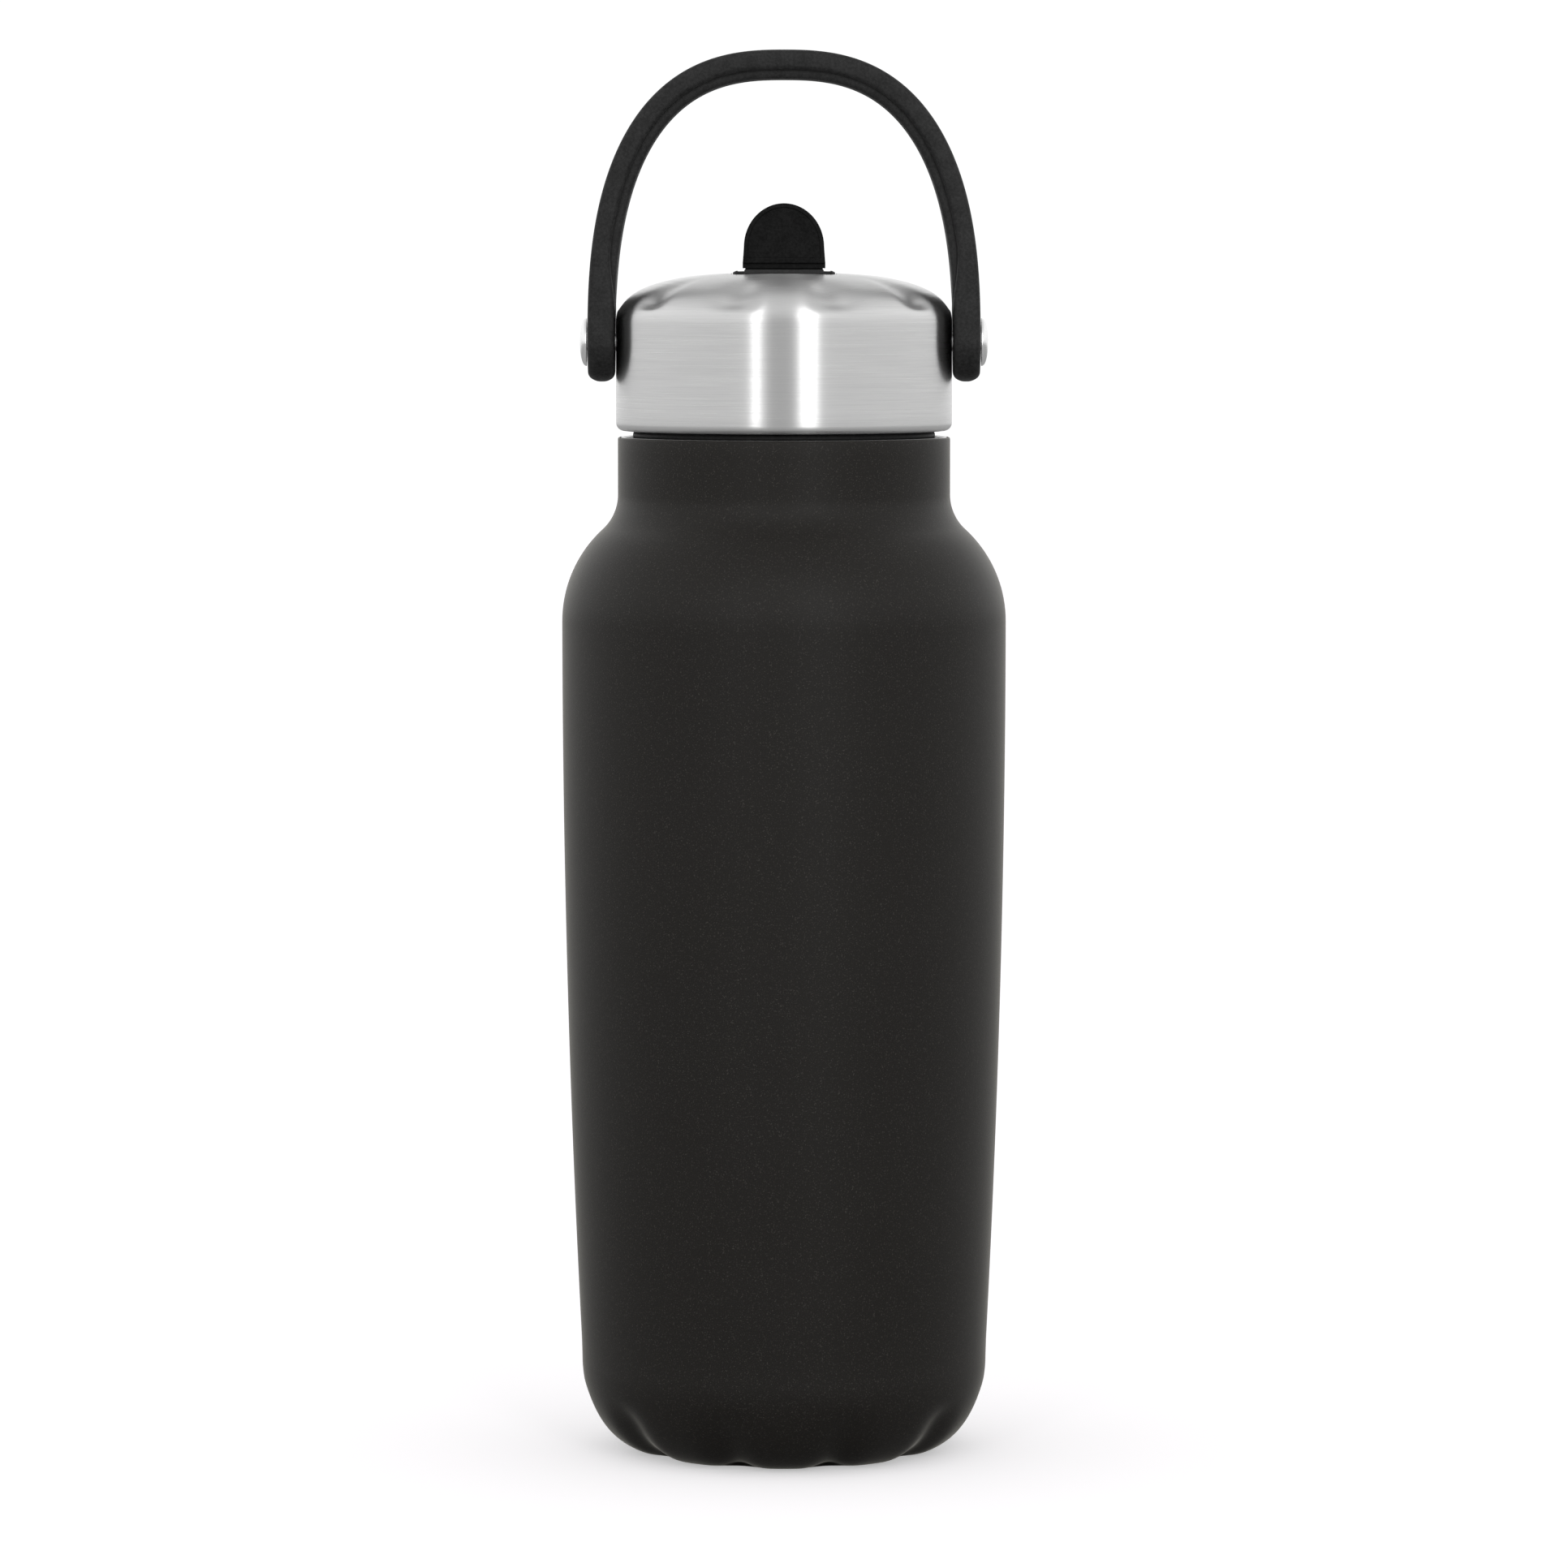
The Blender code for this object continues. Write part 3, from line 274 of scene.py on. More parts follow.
def powder_coat():
    made, tree, shader = finish(
        "powder_coat", 0.5, Specular_IOR_Level=0.26, Sheen_Weight=0.50, Sheen_Roughness=0.26
    )
    shader.inputs["Sheen Tint"].default_value = (1.0, 0.97, 0.88, 1.0)
    grain = use(tree, FINE_GRAIN, Scale=3600.0)
    place = node(tree, "TexCoord").outputs["Object"]
    flecks = node(tree, "TexNoise", {"Vector": place, "Scale": 3800.0, "Detail": 1.0}).outputs[0]
    fleck = node(tree, "MapRange", {"Value": flecks, "From Min": 0.60, "From Max": 0.74}).outputs["Result"]
    ground = blended(tree, grain.outputs["Tone"], (0.0094, 0.0079, 0.0063), (0.0112, 0.0096, 0.0080))
    colour = node(tree, "Mix", {0: fleck, 6: ground, 7: (0.046, 0.042, 0.037, 1.0)}, data_type="RGBA")
    rough = scaled(tree, grain.outputs["Tone"], 0.42, 0.50)
    return dressed(made, colour.outputs[2], rough, grain.outputs["Height"], 0.35, 0.00005)


outline = body_profile()
inside = [point for i, point in enumerate(moved_in(outline, SHEET)) if i % 2 == 0 or i > 100]
body_bm = turned(outline + inside[::-1], FLUTED_STEPS)
press_flutes(body_bm, BASE_FLUTE_DEPTH, base_flute_weight, 1.0)
painted_body = shown(body_bm, "painted_body", powder_coat(), sharp=60)
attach(painted_body, "bottle")
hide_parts("outer_shell", "base_cup")


# ---- vacuum closure ------------------------------------------------------------------------------
# What seals the flask from below: a bead of solder melted over the pump-out hole, and a thin turned disc of
# stainless steel glued into the recess over it.

MARK_SPREAD = 55.0


def turning_group():
    """Marks left by brushing or turning a piece about its own upright axis: fine lines and a broader
    banding."""
    group, start, end = effect("Turning marks", {"Lines": 9000.0}, ["Line", "Band"])
    place = node(group, "TexCoord").outputs["Object"]
    parts = node(group, "SeparateXYZ", {0: place}).outputs
    flat = node(group, "CombineXYZ", {0: parts[0], 1: parts[1]}).outputs[0]
    radius = node(group, "VectorMath", {0: flat}, operation="LENGTH").outputs["Value"]
    along = node(group, "Math", {0: parts[2], 1: radius}, operation="SUBTRACT").outputs[0]
    spread = node(group, "VectorMath", {0: flat, "Scale": MARK_SPREAD}, operation="SCALE").outputs[0]
    for label, share in (("Line", 1.0), ("Band", 0.09)):
        pace = node(group, "Math", {0: start.outputs["Lines"], 1: share}, operation="MULTIPLY").outputs[0]
        across = node(group, "Math", {0: along, 1: pace}, operation="MULTIPLY").outputs[0]
        line_place = node(group, "CombineXYZ", {2: across}).outputs[0]
        both = node(group, "VectorMath", {0: spread, 1: line_place}, operation="ADD").outputs[0]
        marks = node(group, "TexNoise", {"Vector": both, "Scale": 1.0, "Detail": 3.0, "Roughness": 0.65})
        group.links.new(marks.outputs[0], end.inputs[label])
    return group


TURNING_MARKS = turning_group()


def brushed_steel(name, dark, light, smoothest, roughest, lines=9000.0, axis="Z"):
    """Stainless steel brushed round its axis, so that its gloss spreads across the marks and not along
    them."""
    made, tree, shader = finish(name, 0.3, 1.0, Anisotropic=0.95, Anisotropic_Rotation=0.25)
    marks = use(tree, TURNING_MARKS, Lines=lines)
    tangent = node(tree, "Tangent", direction_type="RADIAL", axis=axis)
    mixed = node(tree, "Mix", {0: 0.22, 2: marks.outputs["Line"], 3: marks.outputs["Band"]}).outputs[0]
    sharp = node(tree, "MapRange", {"Value": mixed, "From Min": 0.3, "From Max": 0.7}).outputs[0]
    colour = blended(tree, sharp, dark, light)
    rough = scaled(tree, sharp, roughest, smoothest)
    tree.links.new(tangent.outputs[0], shader.inputs["Tangent"])
    return dressed(made, colour, rough, marks.outputs["Line"], 0.12, 0.00001)


def solder():
    made, tree, _ = finish("solder", 0.45, 1.0)
    grain = use(tree, FINE_GRAIN, Scale=1800.0)
    colour = blended(tree, grain.outputs["Height"], (0.34, 0.34, 0.36), (0.52, 0.52, 0.54))
    rough = scaled(tree, grain.outputs["Height"], 0.35, 0.6)
    return dressed(made, colour, rough, grain.outputs["Height"], 0.5, 0.0001)


disc_low, disc_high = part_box("base_disc")
disc_r = disc_high.x
edge_r = (disc_high.z - disc_low.z) / 2
disc_line = [(0.0, disc_high.z), (disc_r - edge_r, disc_high.z)]
disc_line += arc(disc_r - edge_r, (disc_high.z + disc_low.z) / 2, edge_r, 90, -90, 6)[1:]
disc_line += [(0.0170, disc_low.z), (0.0166, disc_low.z + 0.00015), (0.0160, disc_low.z + 0.00015)]
disc_line += [(0.0156, disc_low.z), (0.0, disc_low.z)]
disc_finish = brushed_steel("base_steel", grey(0.42), grey(0.60), 0.24, 0.38)
base_disc = shown(turned(disc_line, 128, closed=False), "base_disc_turned", disc_finish)
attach(base_disc, "bottle")
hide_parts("base_disc")

bead_low, bead_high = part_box("vacuum_seal_plug")
bead_r = bead_high.x
bead_line = [(0.0, bead_low.z), (bead_r - 0.0003, bead_low.z), (bead_r, bead_low.z + 0.0003)]
bead_rise = bead_high.z - bead_low.z - 0.0005
for step in range(1, 9):
    turn = math.radians(90 * step / 8)
    bead_line.append((bead_r * math.cos(turn), bead_low.z + 0.0005 + bead_rise * math.sin(turn)))
bead_line[-1] = (0.0, bead_high.z)
solder_bead = shown(turned(bead_line, 40, closed=False), "solder_bead", solder())
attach(solder_bead, "bottle")
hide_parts("vacuum_seal_plug")


# ---- inner liner ---------------------------------------------------------------------------------
# The vessel that holds the drink: thin stainless sheet, hydroformed, with a rolled lip that is welded to
# the neck and one and a half turns of thread rolled inwards below it. It is electropolished, inside and
# out.

liner_low, liner_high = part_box("inner_liner")
LINER_R = liner_high.x
LINER_NECK_R = 0.0315
LINER_SHEET = 0.0004
LINER_SHOULDER = 0.1670
LINER_CORNER_R = 0.0110
LIP_R = 0.0330
LIP_HEIGHT = 0.0006
LIP_ROUND = 0.0003
LINER_CONVEX_R = 0.0230
LINER_CONCAVE_R = 0.0115
THREAD_START = 0.1955
THREAD_PITCH = 0.0040
THREAD_STEPS = 96
THREAD_HEIGHT = 0.0011
THREAD_SUNK = 0.0002
LINER_THREAD = (0.0027, 0.0015)
LINER_THREAD_TURNS = 1.5
RUN_OUT_HEIGHT = 0.15


def set_height(verts, root_r, before, after):
    """Changes how far a stretch of ridge stands out from its root, from one share of its height to
    another."""
    for vert in verts:
        radius = math.hypot(vert.co.x, vert.co.y)
        wanted = root_r + (radius - root_r) * after / before
        vert.co.x *= wanted / radius
        vert.co.y *= wanted / radius


def ridge(root_r, crest_r, root_width, crest_width, start_z, turns):
    """A helical ridge with a rounded crest, whose height runs out over the last eighth of a turn at
    each end."""
    steps = round(turns * THREAD_STEPS)
    run_out = THREAD_STEPS / 8
    shoulder_r = crest_r + 0.25 * (root_r - crest_r)
    half_shoulder = 0.5 * crest_width + 0.15 * (root_width - crest_width)
    half_section = [(root_r, root_width / 2), (shoulder_r, half_shoulder), (crest_r, crest_width * 0.3)]
    section = half_section + [(r, -z) for r, z in half_section[::-1]]
    bm = bmesh.new()
    ring = [bm.verts.new((r, 0.0, start_z + z)) for r, z in section]
    face = bm.faces.new(ring)
    last = [face] + face.edges[:] + ring
    height = RUN_OUT_HEIGHT
    set_height(ring, root_r, 1.0, height)
    for step in range(1, steps + 1):
        swept = bmesh.ops.spin(
            bm, geom=last, axis=(0, 0, 1), cent=(0, 0, 0), dvec=(0, 0, turns * THREAD_PITCH / steps),
            angle=math.tau * turns / steps, steps=1,
        )
        last = swept["geom_last"]
        wanted = min(1.0, RUN_OUT_HEIGHT + (1 - RUN_OUT_HEIGHT) * min(step, steps - step) / run_out)
        set_height([item for item in last if isinstance(item, bmesh.types.BMVert)], root_r, height, wanted)
        height = wanted
    bmesh.ops.recalc_face_normals(bm, faces=bm.faces[:])
    return bm


def combined(bm, tools, operation):
    """Joins closed shapes to a closed shape, or cuts them from it, one after another."""
    for tool in [bm] + tools:
        bmesh.ops.triangulate(tool, faces=[face for face in tool.faces if len(face.verts) > 4])
    objects = []
    for number, shape in enumerate([bm] + tools):
        mesh = bpy.data.meshes.new(f"working_{number}")
        shape.to_mesh(mesh)
        shape.free()
        objects.append(bpy.data.objects.new(f"working_{number}", mesh))
        bpy.context.scene.collection.objects.link(objects[-1])
    for other in objects[1:]:
        step = objects[0].modifiers.new("Combine", "BOOLEAN")
        step.operation = operation
        step.solver = "EXACT"
        step.object = other
    bpy.context.view_layer.update()
    graph = bpy.context.evaluated_depsgraph_get()
    mesh = bpy.data.meshes.new_from_object(objects[0].evaluated_get(graph))
    result = bmesh.new()
    result.from_mesh(mesh)
    bpy.data.meshes.remove(mesh)
    for obj in objects:
        bpy.data.meshes.remove(obj.data)
    return result


def bare_steel(name, dark, light):
    """Electropolished stainless steel: bright, with a faint trace of how it was formed."""
    made, tree, _ = finish(name, 0.2, 1.0)
    marks = use(tree, TURNING_MARKS, Lines=2600.0)
    colour = blended(tree, marks.outputs["Band"], dark, light)
    rough = scaled(tree, marks.outputs["Line"], 0.12, 0.27)
    return dressed(made, colour, rough, marks.outputs["Band"], 0.15, 0.00002)


def liner_outline():
    """The liner's outer side, from under its lip down to the middle of its floor."""
    convex_r, concave_r = LINER_CONVEX_R, LINER_CONCAVE_R
    across = (LINER_NECK_R + concave_r) - (LINER_R - convex_r)
    up = math.sqrt((convex_r + concave_r) ** 2 - across**2)
    meet = math.degrees(math.atan2(up, across))
    line = arc(LINER_NECK_R + concave_r, LINER_SHOULDER + up, concave_r, 180, 180 + meet, 12)
    line += arc(LINER_R - convex_r, LINER_SHOULDER, convex_r, meet, 0, 14)[1:]
    corner_z = liner_low.z + LINER_CORNER_R
    for z in between(LINER_SHOULDER, corner_z + 0.004, 12):
        down = (SHOULDER_START - z) / (SHOULDER_START - CUP_SEAM)
        line.append((LINER_R - TAPER * down**2, z))
    floor_r = line[-1][0] - LINER_CORNER_R - 0.0003
    line += arc(floor_r, corner_z, LINER_CORNER_R, 0, -90, 12)
    return line + [(floor_r * 0.5, liner_low.z), (0.0, liner_low.z)]


STEEL = bare_steel("bare_steel", grey(0.56), (0.68, 0.68, 0.69))
liner_outside = liner_outline()
liner_inside = moved_in(liner_outside, LINER_SHEET)
liner_inside[-1] = (0.0, liner_low.z + LINER_SHEET)
bore_r = LINER_NECK_R - LINER_SHEET
lip_top = liner_high.z
lip = arc(bore_r + LIP_ROUND, lip_top - LIP_ROUND, LIP_ROUND, 180, 90, 4)
lip += arc(LIP_R - LIP_ROUND, lip_top - LIP_ROUND, LIP_ROUND, 90, -60, 6)
lip.append((LINER_NECK_R, lip_top - LIP_HEIGHT))
liner_bm = turned(liner_inside[::-1] + lip + liner_outside, 192, closed=False)
liner_root, liner_crest = bore_r + THREAD_SUNK, bore_r - THREAD_HEIGHT
liner_ridge = ridge(liner_root, liner_crest, *LINER_THREAD, THREAD_START, LINER_THREAD_TURNS)
liner = shown(combined(liner_bm, [liner_ridge], "UNION"), "liner_with_thread", STEEL)
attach(liner, "bottle")
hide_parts("inner_liner")


# ---- heat shield and getter ----------------------------------------------------------------------
# Inside the vacuum: copper foil wrapped tight round the liner, which sends radiant heat back, and a
# sintered getter button spot-welded under its floor, which takes up the last gas.


def copper():
    made, tree, _ = finish("copper", 0.3, 1.0)
    place = node(tree, "TexCoord").outputs["Object"]
    at = {"Vector": place, "Scale": 120.0}
    creases = node(tree, "TexVoronoi", at, feature="DISTANCE_TO_EDGE").outputs[0]
    crease_and_shade = node(tree, "MapRange", {"Value": creases, "From Max": 0.25}).outputs["Result"]
    # The foil's colour is painted darker along its creases: painted shade in the creases. The same mask also
    # gives the creases their real roughness and relief.
    colour = blended(tree, crease_and_shade, (0.55, 0.22, 0.12), (0.78, 0.38, 0.24))
    rough = scaled(tree, crease_and_shade, 0.42, 0.24)
    return dressed(made, colour, rough, crease_and_shade, 0.4, 0.0002)


def getter_alloy():
    made, tree, _ = finish("getter_alloy", 0.7, 1.0)
    grain = use(tree, FINE_GRAIN, Scale=1400.0)
    colour = blended(tree, grain.outputs["Height"], (0.10, 0.10, 0.11), (0.30, 0.30, 0.32))
    rough = scaled(tree, grain.outputs["Height"], 0.55, 0.8)
    return dressed(made, colour, rough, grain.outputs["Height"], 0.9, 0.0001)


foil_low, foil_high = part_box("heat_shield_foil")
FOIL = 0.00012
FOIL_STANDOFF = 0.00042
foil_line = []
for z in [foil_high.z] + between(foil_high.z, foil_low.z, 24):
    down = (SHOULDER_START - z) / (SHOULDER_START - CUP_SEAM)
    foil_line.append((LINER_R + FOIL_STANDOFF - TAPER * down**2, z))
foil_bm = turned(foil_line + moved_in(foil_line, FOIL)[::-1], 120)
foil = shown(foil_bm, "copper_foil_wrap", copper())
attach(foil, "bottle")
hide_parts("heat_shield_foil")

getter_low, getter_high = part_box("getter")
button_r = getter_high.x
round_r = 0.0004
button = [(0.0, getter_high.z)] + arc(button_r - round_r, getter_high.z - round_r, round_r, 90, 0, 5)
button += arc(button_r - round_r, getter_low.z + round_r, round_r, 0, -90, 5) + [(0.0035, getter_low.z)]
button += [(0.0030, getter_low.z + 0.0004), (0.0, getter_low.z + 0.0004)]
getter_button = shown(turned(button, 64, closed=False), "getter_button", getter_alloy())
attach(getter_button, "bottle")
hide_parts("getter")


# ---- lid shell -----------------------------------------------------------------------------------
# The cap of the lid: one deep-drawn stainless cup with a rolled rim and ten flutes pressed round its crown,
# brushed while it turns. It is pressed over the plug, and its top is cut out for the spout's well.

lid_low, lid_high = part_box("lid_shell")
LID_R = 0.0340
LID_RIM_R = 0.0016
CROWN_HEIGHT = 0.0108
CROWN_POWER = 2.85
LID_SHEET = 0.0005
LID_FLUTE_DEPTH = 0.0010
LID_FLUTE_START = 0.2314
LID_FLUTE_RISE = 0.0028
LID_FLUTE_INNER_R = 0.0190
LID_FLUTE_FADE = 0.0100
WELL_OPENING_LOW = 0.2240
WELL_CORNER = 0.0032
PIVOT_BORE_START = 0.0260
HOLE_GAP = 0.0003
well_low, well_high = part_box("spout_well")
pivot = Vector(joints["handle_swing"]["pos_m"])
LID_TOP = lid_high.z


def crown(steps):
    """The domed top in section, from its middle out to where the straight wall starts."""
    points = []
    for i in range(steps + 1):
        angle = math.radians(90 * i / steps)
        out = math.sin(angle) ** (2 / CROWN_POWER)
        up = max(0.0, math.cos(angle)) ** (2 / CROWN_POWER)
        points.append((LID_R * out, LID_TOP - CROWN_HEIGHT * (1 - up)))
    points[0] = (0.0, LID_TOP)
    return points


def lid_flute_weight(radius, z):
    """Starts just above the wall and fades out half-way up the crown."""
    down = min(1.0, max(0.0, (z - LID_FLUTE_START) / LID_FLUTE_RISE))
    out = min(1.0, max(0.0, (radius - LID_FLUTE_INNER_R) / LID_FLUTE_FADE))
    return math.sin(down * math.pi / 2) ** 2 * math.sin(out * math.pi / 2) ** 2


def block(low, high, corner, segments, top_round=0.0):
    """A box whose upright edges are rounded and, where asked, the rim of its top."""
    bm = bmesh.new()
    bmesh.ops.create_cube(bm, size=1.0)
    bmesh.ops.scale(bm, verts=bm.verts[:], vec=Vector(high) - Vector(low))
    bmesh.ops.translate(bm, verts=bm.verts[:], vec=(Vector(high) + Vector(low)) / 2)
    if corner:
        upright = [e for e in bm.edges if abs(e.verts[0].co.z - e.verts[1].co.z) > WELD]
        bmesh.ops.bevel(
            bm, geom=upright, offset=corner, segments=segments, profile=0.5, affect="EDGES", material=-1
        )
    if top_round:
        rim = [e for e in bm.edges if min(v.co.z for v in e.verts) > high[2] - WELD]
        bmesh.ops.bevel(bm, geom=rim, offset=top_round, segments=4, profile=0.5, affect="EDGES", material=-1)
    return bm


def rod(radius, start, end, steps=48):
    """A closed cylinder between two points on a line along X or Z."""
    bm = bmesh.new()
    start, end = Vector(start), Vector(end)
    length = (end - start).length
    bmesh.ops.create_cone(bm, cap_ends=True, segments=steps, radius1=radius, radius2=radius, depth=length)
    if abs(end.x - start.x) > WELD:
        bmesh.ops.rotate(bm, verts=bm.verts[:], matrix=Matrix.Rotation(math.radians(90), 3, "Y"))
    bmesh.ops.translate(bm, verts=bm.verts[:], vec=(start + end) / 2)
    return bm


def well_cutter():
    low = (well_low.x - HOLE_GAP, well_low.y - HOLE_GAP, WELL_OPENING_LOW)
    high = (well_high.x + HOLE_GAP, well_high.y + HOLE_GAP, LID_TOP + 0.003)
    return block(low, high, WELL_CORNER + HOLE_GAP, 10)


def pivot_cutters(radius):
    reach = LID_R + 0.004
    return [
        rod(radius, (side * PIVOT_BORE_START, 0, pivot.z), (side * reach, 0, pivot.z), 40)
        for side in (-1, 1)
    ]


rivet_r = 0.0019
rim_z = lid_low.z + LID_RIM_R
wall = [(LID_R, z) for z in between(LID_TOP - CROWN_HEIGHT, rim_z, 9)[:-1]]
lid_line = crown(54) + wall + arc(LID_R - LID_RIM_R, rim_z, LID_RIM_R, 0, -90, 8)
lid_inside = moved_in(lid_line, LID_SHEET)
lid_inside[0] = (0.0, LID_TOP - LID_SHEET)
lid_inside[-1] = (LID_R - LID_RIM_R, lid_low.z + LID_SHEET)
lid_bm = turned(lid_line + lid_inside[::-1], FLUTED_STEPS, closed=False)
press_flutes(lid_bm, LID_FLUTE_DEPTH, lid_flute_weight, -1.0)
lid_bm = combined(lid_bm, [well_cutter()] + pivot_cutters(rivet_r + HOLE_GAP), "DIFFERENCE")
LID_STEEL = brushed_steel("brushed_steel", grey(0.75), (0.86, 0.86, 0.855), 0.26, 0.35)
lid_shell = shown(lid_bm, "lid_cap", LID_STEEL, sharp=50)
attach(lid_shell, "lid")
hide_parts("lid_shell")


# ---- plug ----------------------------------------------------------------------------------------
# The moulded black plug that the steel cap is pressed on: a dome under the crown, a seat for the gasket,
# and a skirt with one and a quarter turns of outside thread.

plug_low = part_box("lid_core")[0]
PLUG_R = 0.0295
PLUG_WALL = 0.0026
PLUG_THREAD = (0.0020, 0.0011)
PLUG_THREAD_TURNS = 1.25
PLUG_WALL_HIGH = 0.2275
PLUG_WALL_LOW = 0.2102
FLANGE_R = 0.0317
FLANGE_HIGH = 0.2088
SEAT_DEPTH = 0.0008
SEAT_HIGH = 0.2080
SEAT_LOW = 0.2036
ROOM_R = 0.0304


def black_plastic(name, roughness, grain_scale, depth, dark, light, gloss=0.30):
    """Moulded plastic or rubber with the fine spark-eroded grain of its mould."""
    made, tree, _ = finish(name, roughness, Specular_IOR_Level=gloss)
    grain = use(tree, FINE_GRAIN, Scale=grain_scale)
    peak = node(tree, "MapRange", {"Value": grain.outputs["Height"], "From Min": 0.6, "From Max": 0.95})
    colour = blended(tree, peak.outputs["Result"], dark, light)
    rough = scaled(tree, grain.outputs["Tone"], roughness - 0.06, roughness + 0.06)
    return dressed(made, colour, rough, grain.outputs["Height"], 0.6, depth)


PLASTIC = black_plastic("black_plastic", 0.50, 2600.0, 0.00006, grey(0.0085), grey(0.021))
dome = moved_in(crown(30)[:-1], LID_SHEET + LID_FLUTE_DEPTH + HOLE_GAP)
dome[0] = (0.0, LID_TOP - LID_SHEET - LID_FLUTE_DEPTH - HOLE_GAP)
seat_r = PLUG_R - SEAT_DEPTH
skirt_r = PLUG_R - PLUG_WALL
inner_rim_r = LID_R - LID_SHEET - HOLE_GAP
plug_line = dome + [(inner_rim_r, PLUG_WALL_HIGH), (inner_rim_r, PLUG_WALL_LOW), (FLANGE_R, FLANGE_HIGH)]
plug_line += [(FLANGE_R, SEAT_HIGH + 0.0002), (FLANGE_R - 0.0002, SEAT_HIGH), (seat_r, SEAT_HIGH)]
plug_line += [(seat_r, SEAT_LOW), (PLUG_R - 0.0003, SEAT_LOW), (PLUG_R, SEAT_LOW - 0.0003)]
plug_line += [(PLUG_R, plug_low.z + 0.0004), (PLUG_R - 0.0004, plug_low.z)]
plug_line += [(skirt_r, plug_low.z), (skirt_r, 0.2050), (ROOM_R, 0.2110), (ROOM_R, 0.2300)]
plug_line += [(0.0272, 0.2322), (0.0200, 0.2338), (0.0, 0.2342)]
plug_root, plug_crest = PLUG_R - THREAD_SUNK, PLUG_R + THREAD_HEIGHT
plug_ridge = ridge(plug_root, plug_crest, *PLUG_THREAD, THREAD_START - THREAD_PITCH / 2, PLUG_THREAD_TURNS)
plug_bm = combined(turned(plug_line, 160, closed=False), [plug_ridge], "UNION")
plug_bm = combined(plug_bm, [well_cutter()] + pivot_cutters(rivet_r + HOLE_GAP), "DIFFERENCE")
plug = shown(plug_bm, "threaded_plug", PLASTIC)
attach(plug, "lid")
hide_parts("lid_core")


# ---- lid gasket ----------------------------------------------------------------------------------
# A black silicone ring in the plug's groove, with two soft ribs round its outside. It seals on the liner's
# lip.

gasket_low, gasket_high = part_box("lid_gasket")
gasket_r = gasket_high.x
gasket_bore = seat_r + HOLE_GAP
SILICONE = black_plastic("silicone", 0.58, 1500.0, 0.00003, grey(0.012), grey(0.022))
rib_r = (gasket_high.z - gasket_low.z) / 4
gasket_line = arc(gasket_r - rib_r, gasket_high.z - rib_r, rib_r, 90, -60, 8)
gasket_line += arc(gasket_r - rib_r, gasket_low.z + rib_r, rib_r, 60, -90, 8)
gasket_line += [(gasket_bore, gasket_low.z), (gasket_bore, gasket_high.z)]
gasket = shown(turned(gasket_line, 160), "ribbed_gasket", SILICONE)
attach(gasket, "gasket_ring")
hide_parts("lid_gasket")


# ---- plug cap and foam ---------------------------------------------------------------------------
# A disc of closed-cell foam lies in the plug, and a moulded black cap with a raised ring closes it from
# below. The tube and the vent valve pass through both.

spout_axis = Vector(joints["spout_flip"]["pos_m"])
VENT_Y = 0.0130
TUBE_R = 0.0036
VALVE_R = 0.0019
VALVE_ROOM_R = 0.0036
HOLE_LOW = 0.180
HOLE_HIGH = 0.210
cap_low, cap_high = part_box("plug_cap")


def foam():
    made, tree, _ = finish("foam", 0.9)
    place = node(tree, "TexCoord").outputs["Object"]
    at = {"Vector": place, "Scale": 1300.0}
    cells = node(tree, "TexVoronoi", at, feature="DISTANCE_TO_EDGE").outputs[0]
    cell = node(tree, "MapRange", {"Value": cells, "From Max": 0.35}).outputs["Result"]
    colour = blended(tree, cell, (0.70, 0.68, 0.61), (0.80, 0.78, 0.72))
    rough = scaled(tree, cell, 0.85, 0.95)
    return dressed(made, colour, rough, cell, 0.6, 0.0003, invert=True)


cap_r = cap_high.x
seam_z = plug_low.z - HOLE_GAP
spigot_r = skirt_r - HOLE_GAP
cap_line = [(0.0, cap_high.z), (spigot_r, cap_high.z), (spigot_r, seam_z)]
cap_line += arc(cap_r - 0.0002, seam_z - 0.0002, 0.0002, 90, 0, 3)
cap_line += arc(cap_r - 0.0009, cap_low.z + 0.0009, 0.0009, 0, -90, 6)
cap_line += [(0.0250, cap_low.z), (0.0247, cap_low.z + 0.0004), (0.0, cap_low.z + 0.0004)]
cap_holes = [
    rod(TUBE_R + HOLE_GAP, (0, spout_axis.y, HOLE_LOW), (0, spout_axis.y, HOLE_HIGH)),
    rod(VALVE_R + HOLE_GAP, (0, VENT_Y, HOLE_LOW), (0, VENT_Y, HOLE_HIGH), 32),
]
cap_bm = combined(turned(cap_line, 128, closed=False), cap_holes, "DIFFERENCE")
plug_cap = shown(cap_bm, "plug_end_cap", PLASTIC)
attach(plug_cap, "lid")
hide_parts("plug_cap")

foam_low, foam_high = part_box("lid_insulation")
foam_r = foam_high.x
foam_line = [(0.0, foam_high.z)] + arc(foam_r - 0.0004, foam_high.z - 0.0004, 0.0004, 90, 0, 4)
foam_line += arc(foam_r - 0.0004, foam_low.z + 0.0004, 0.0004, 0, -90, 4) + [(0.0, foam_low.z)]
foam_holes = [
    rod(TUBE_R + HOLE_GAP, (0, spout_axis.y, HOLE_LOW), (0, spout_axis.y, HOLE_HIGH)),
    rod(VALVE_ROOM_R, (0, VENT_Y, HOLE_LOW), (0, VENT_Y, HOLE_HIGH), 32),
]
foam_bm = combined(turned(foam_line, 96, closed=False), foam_holes, "DIFFERENCE")
foam_disc = shown(foam_bm, "foam_disc", foam())
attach(foam_disc, "lid")
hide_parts("lid_insulation")


# ---- spout well ----------------------------------------------------------------------------------
# The black moulding in the lid's top that the spout folds into: a room with a rounded rim standing just
# proud of the steel, a raised lip under the tab, a rail along each side, and a stub below for the seal and
# the tube.

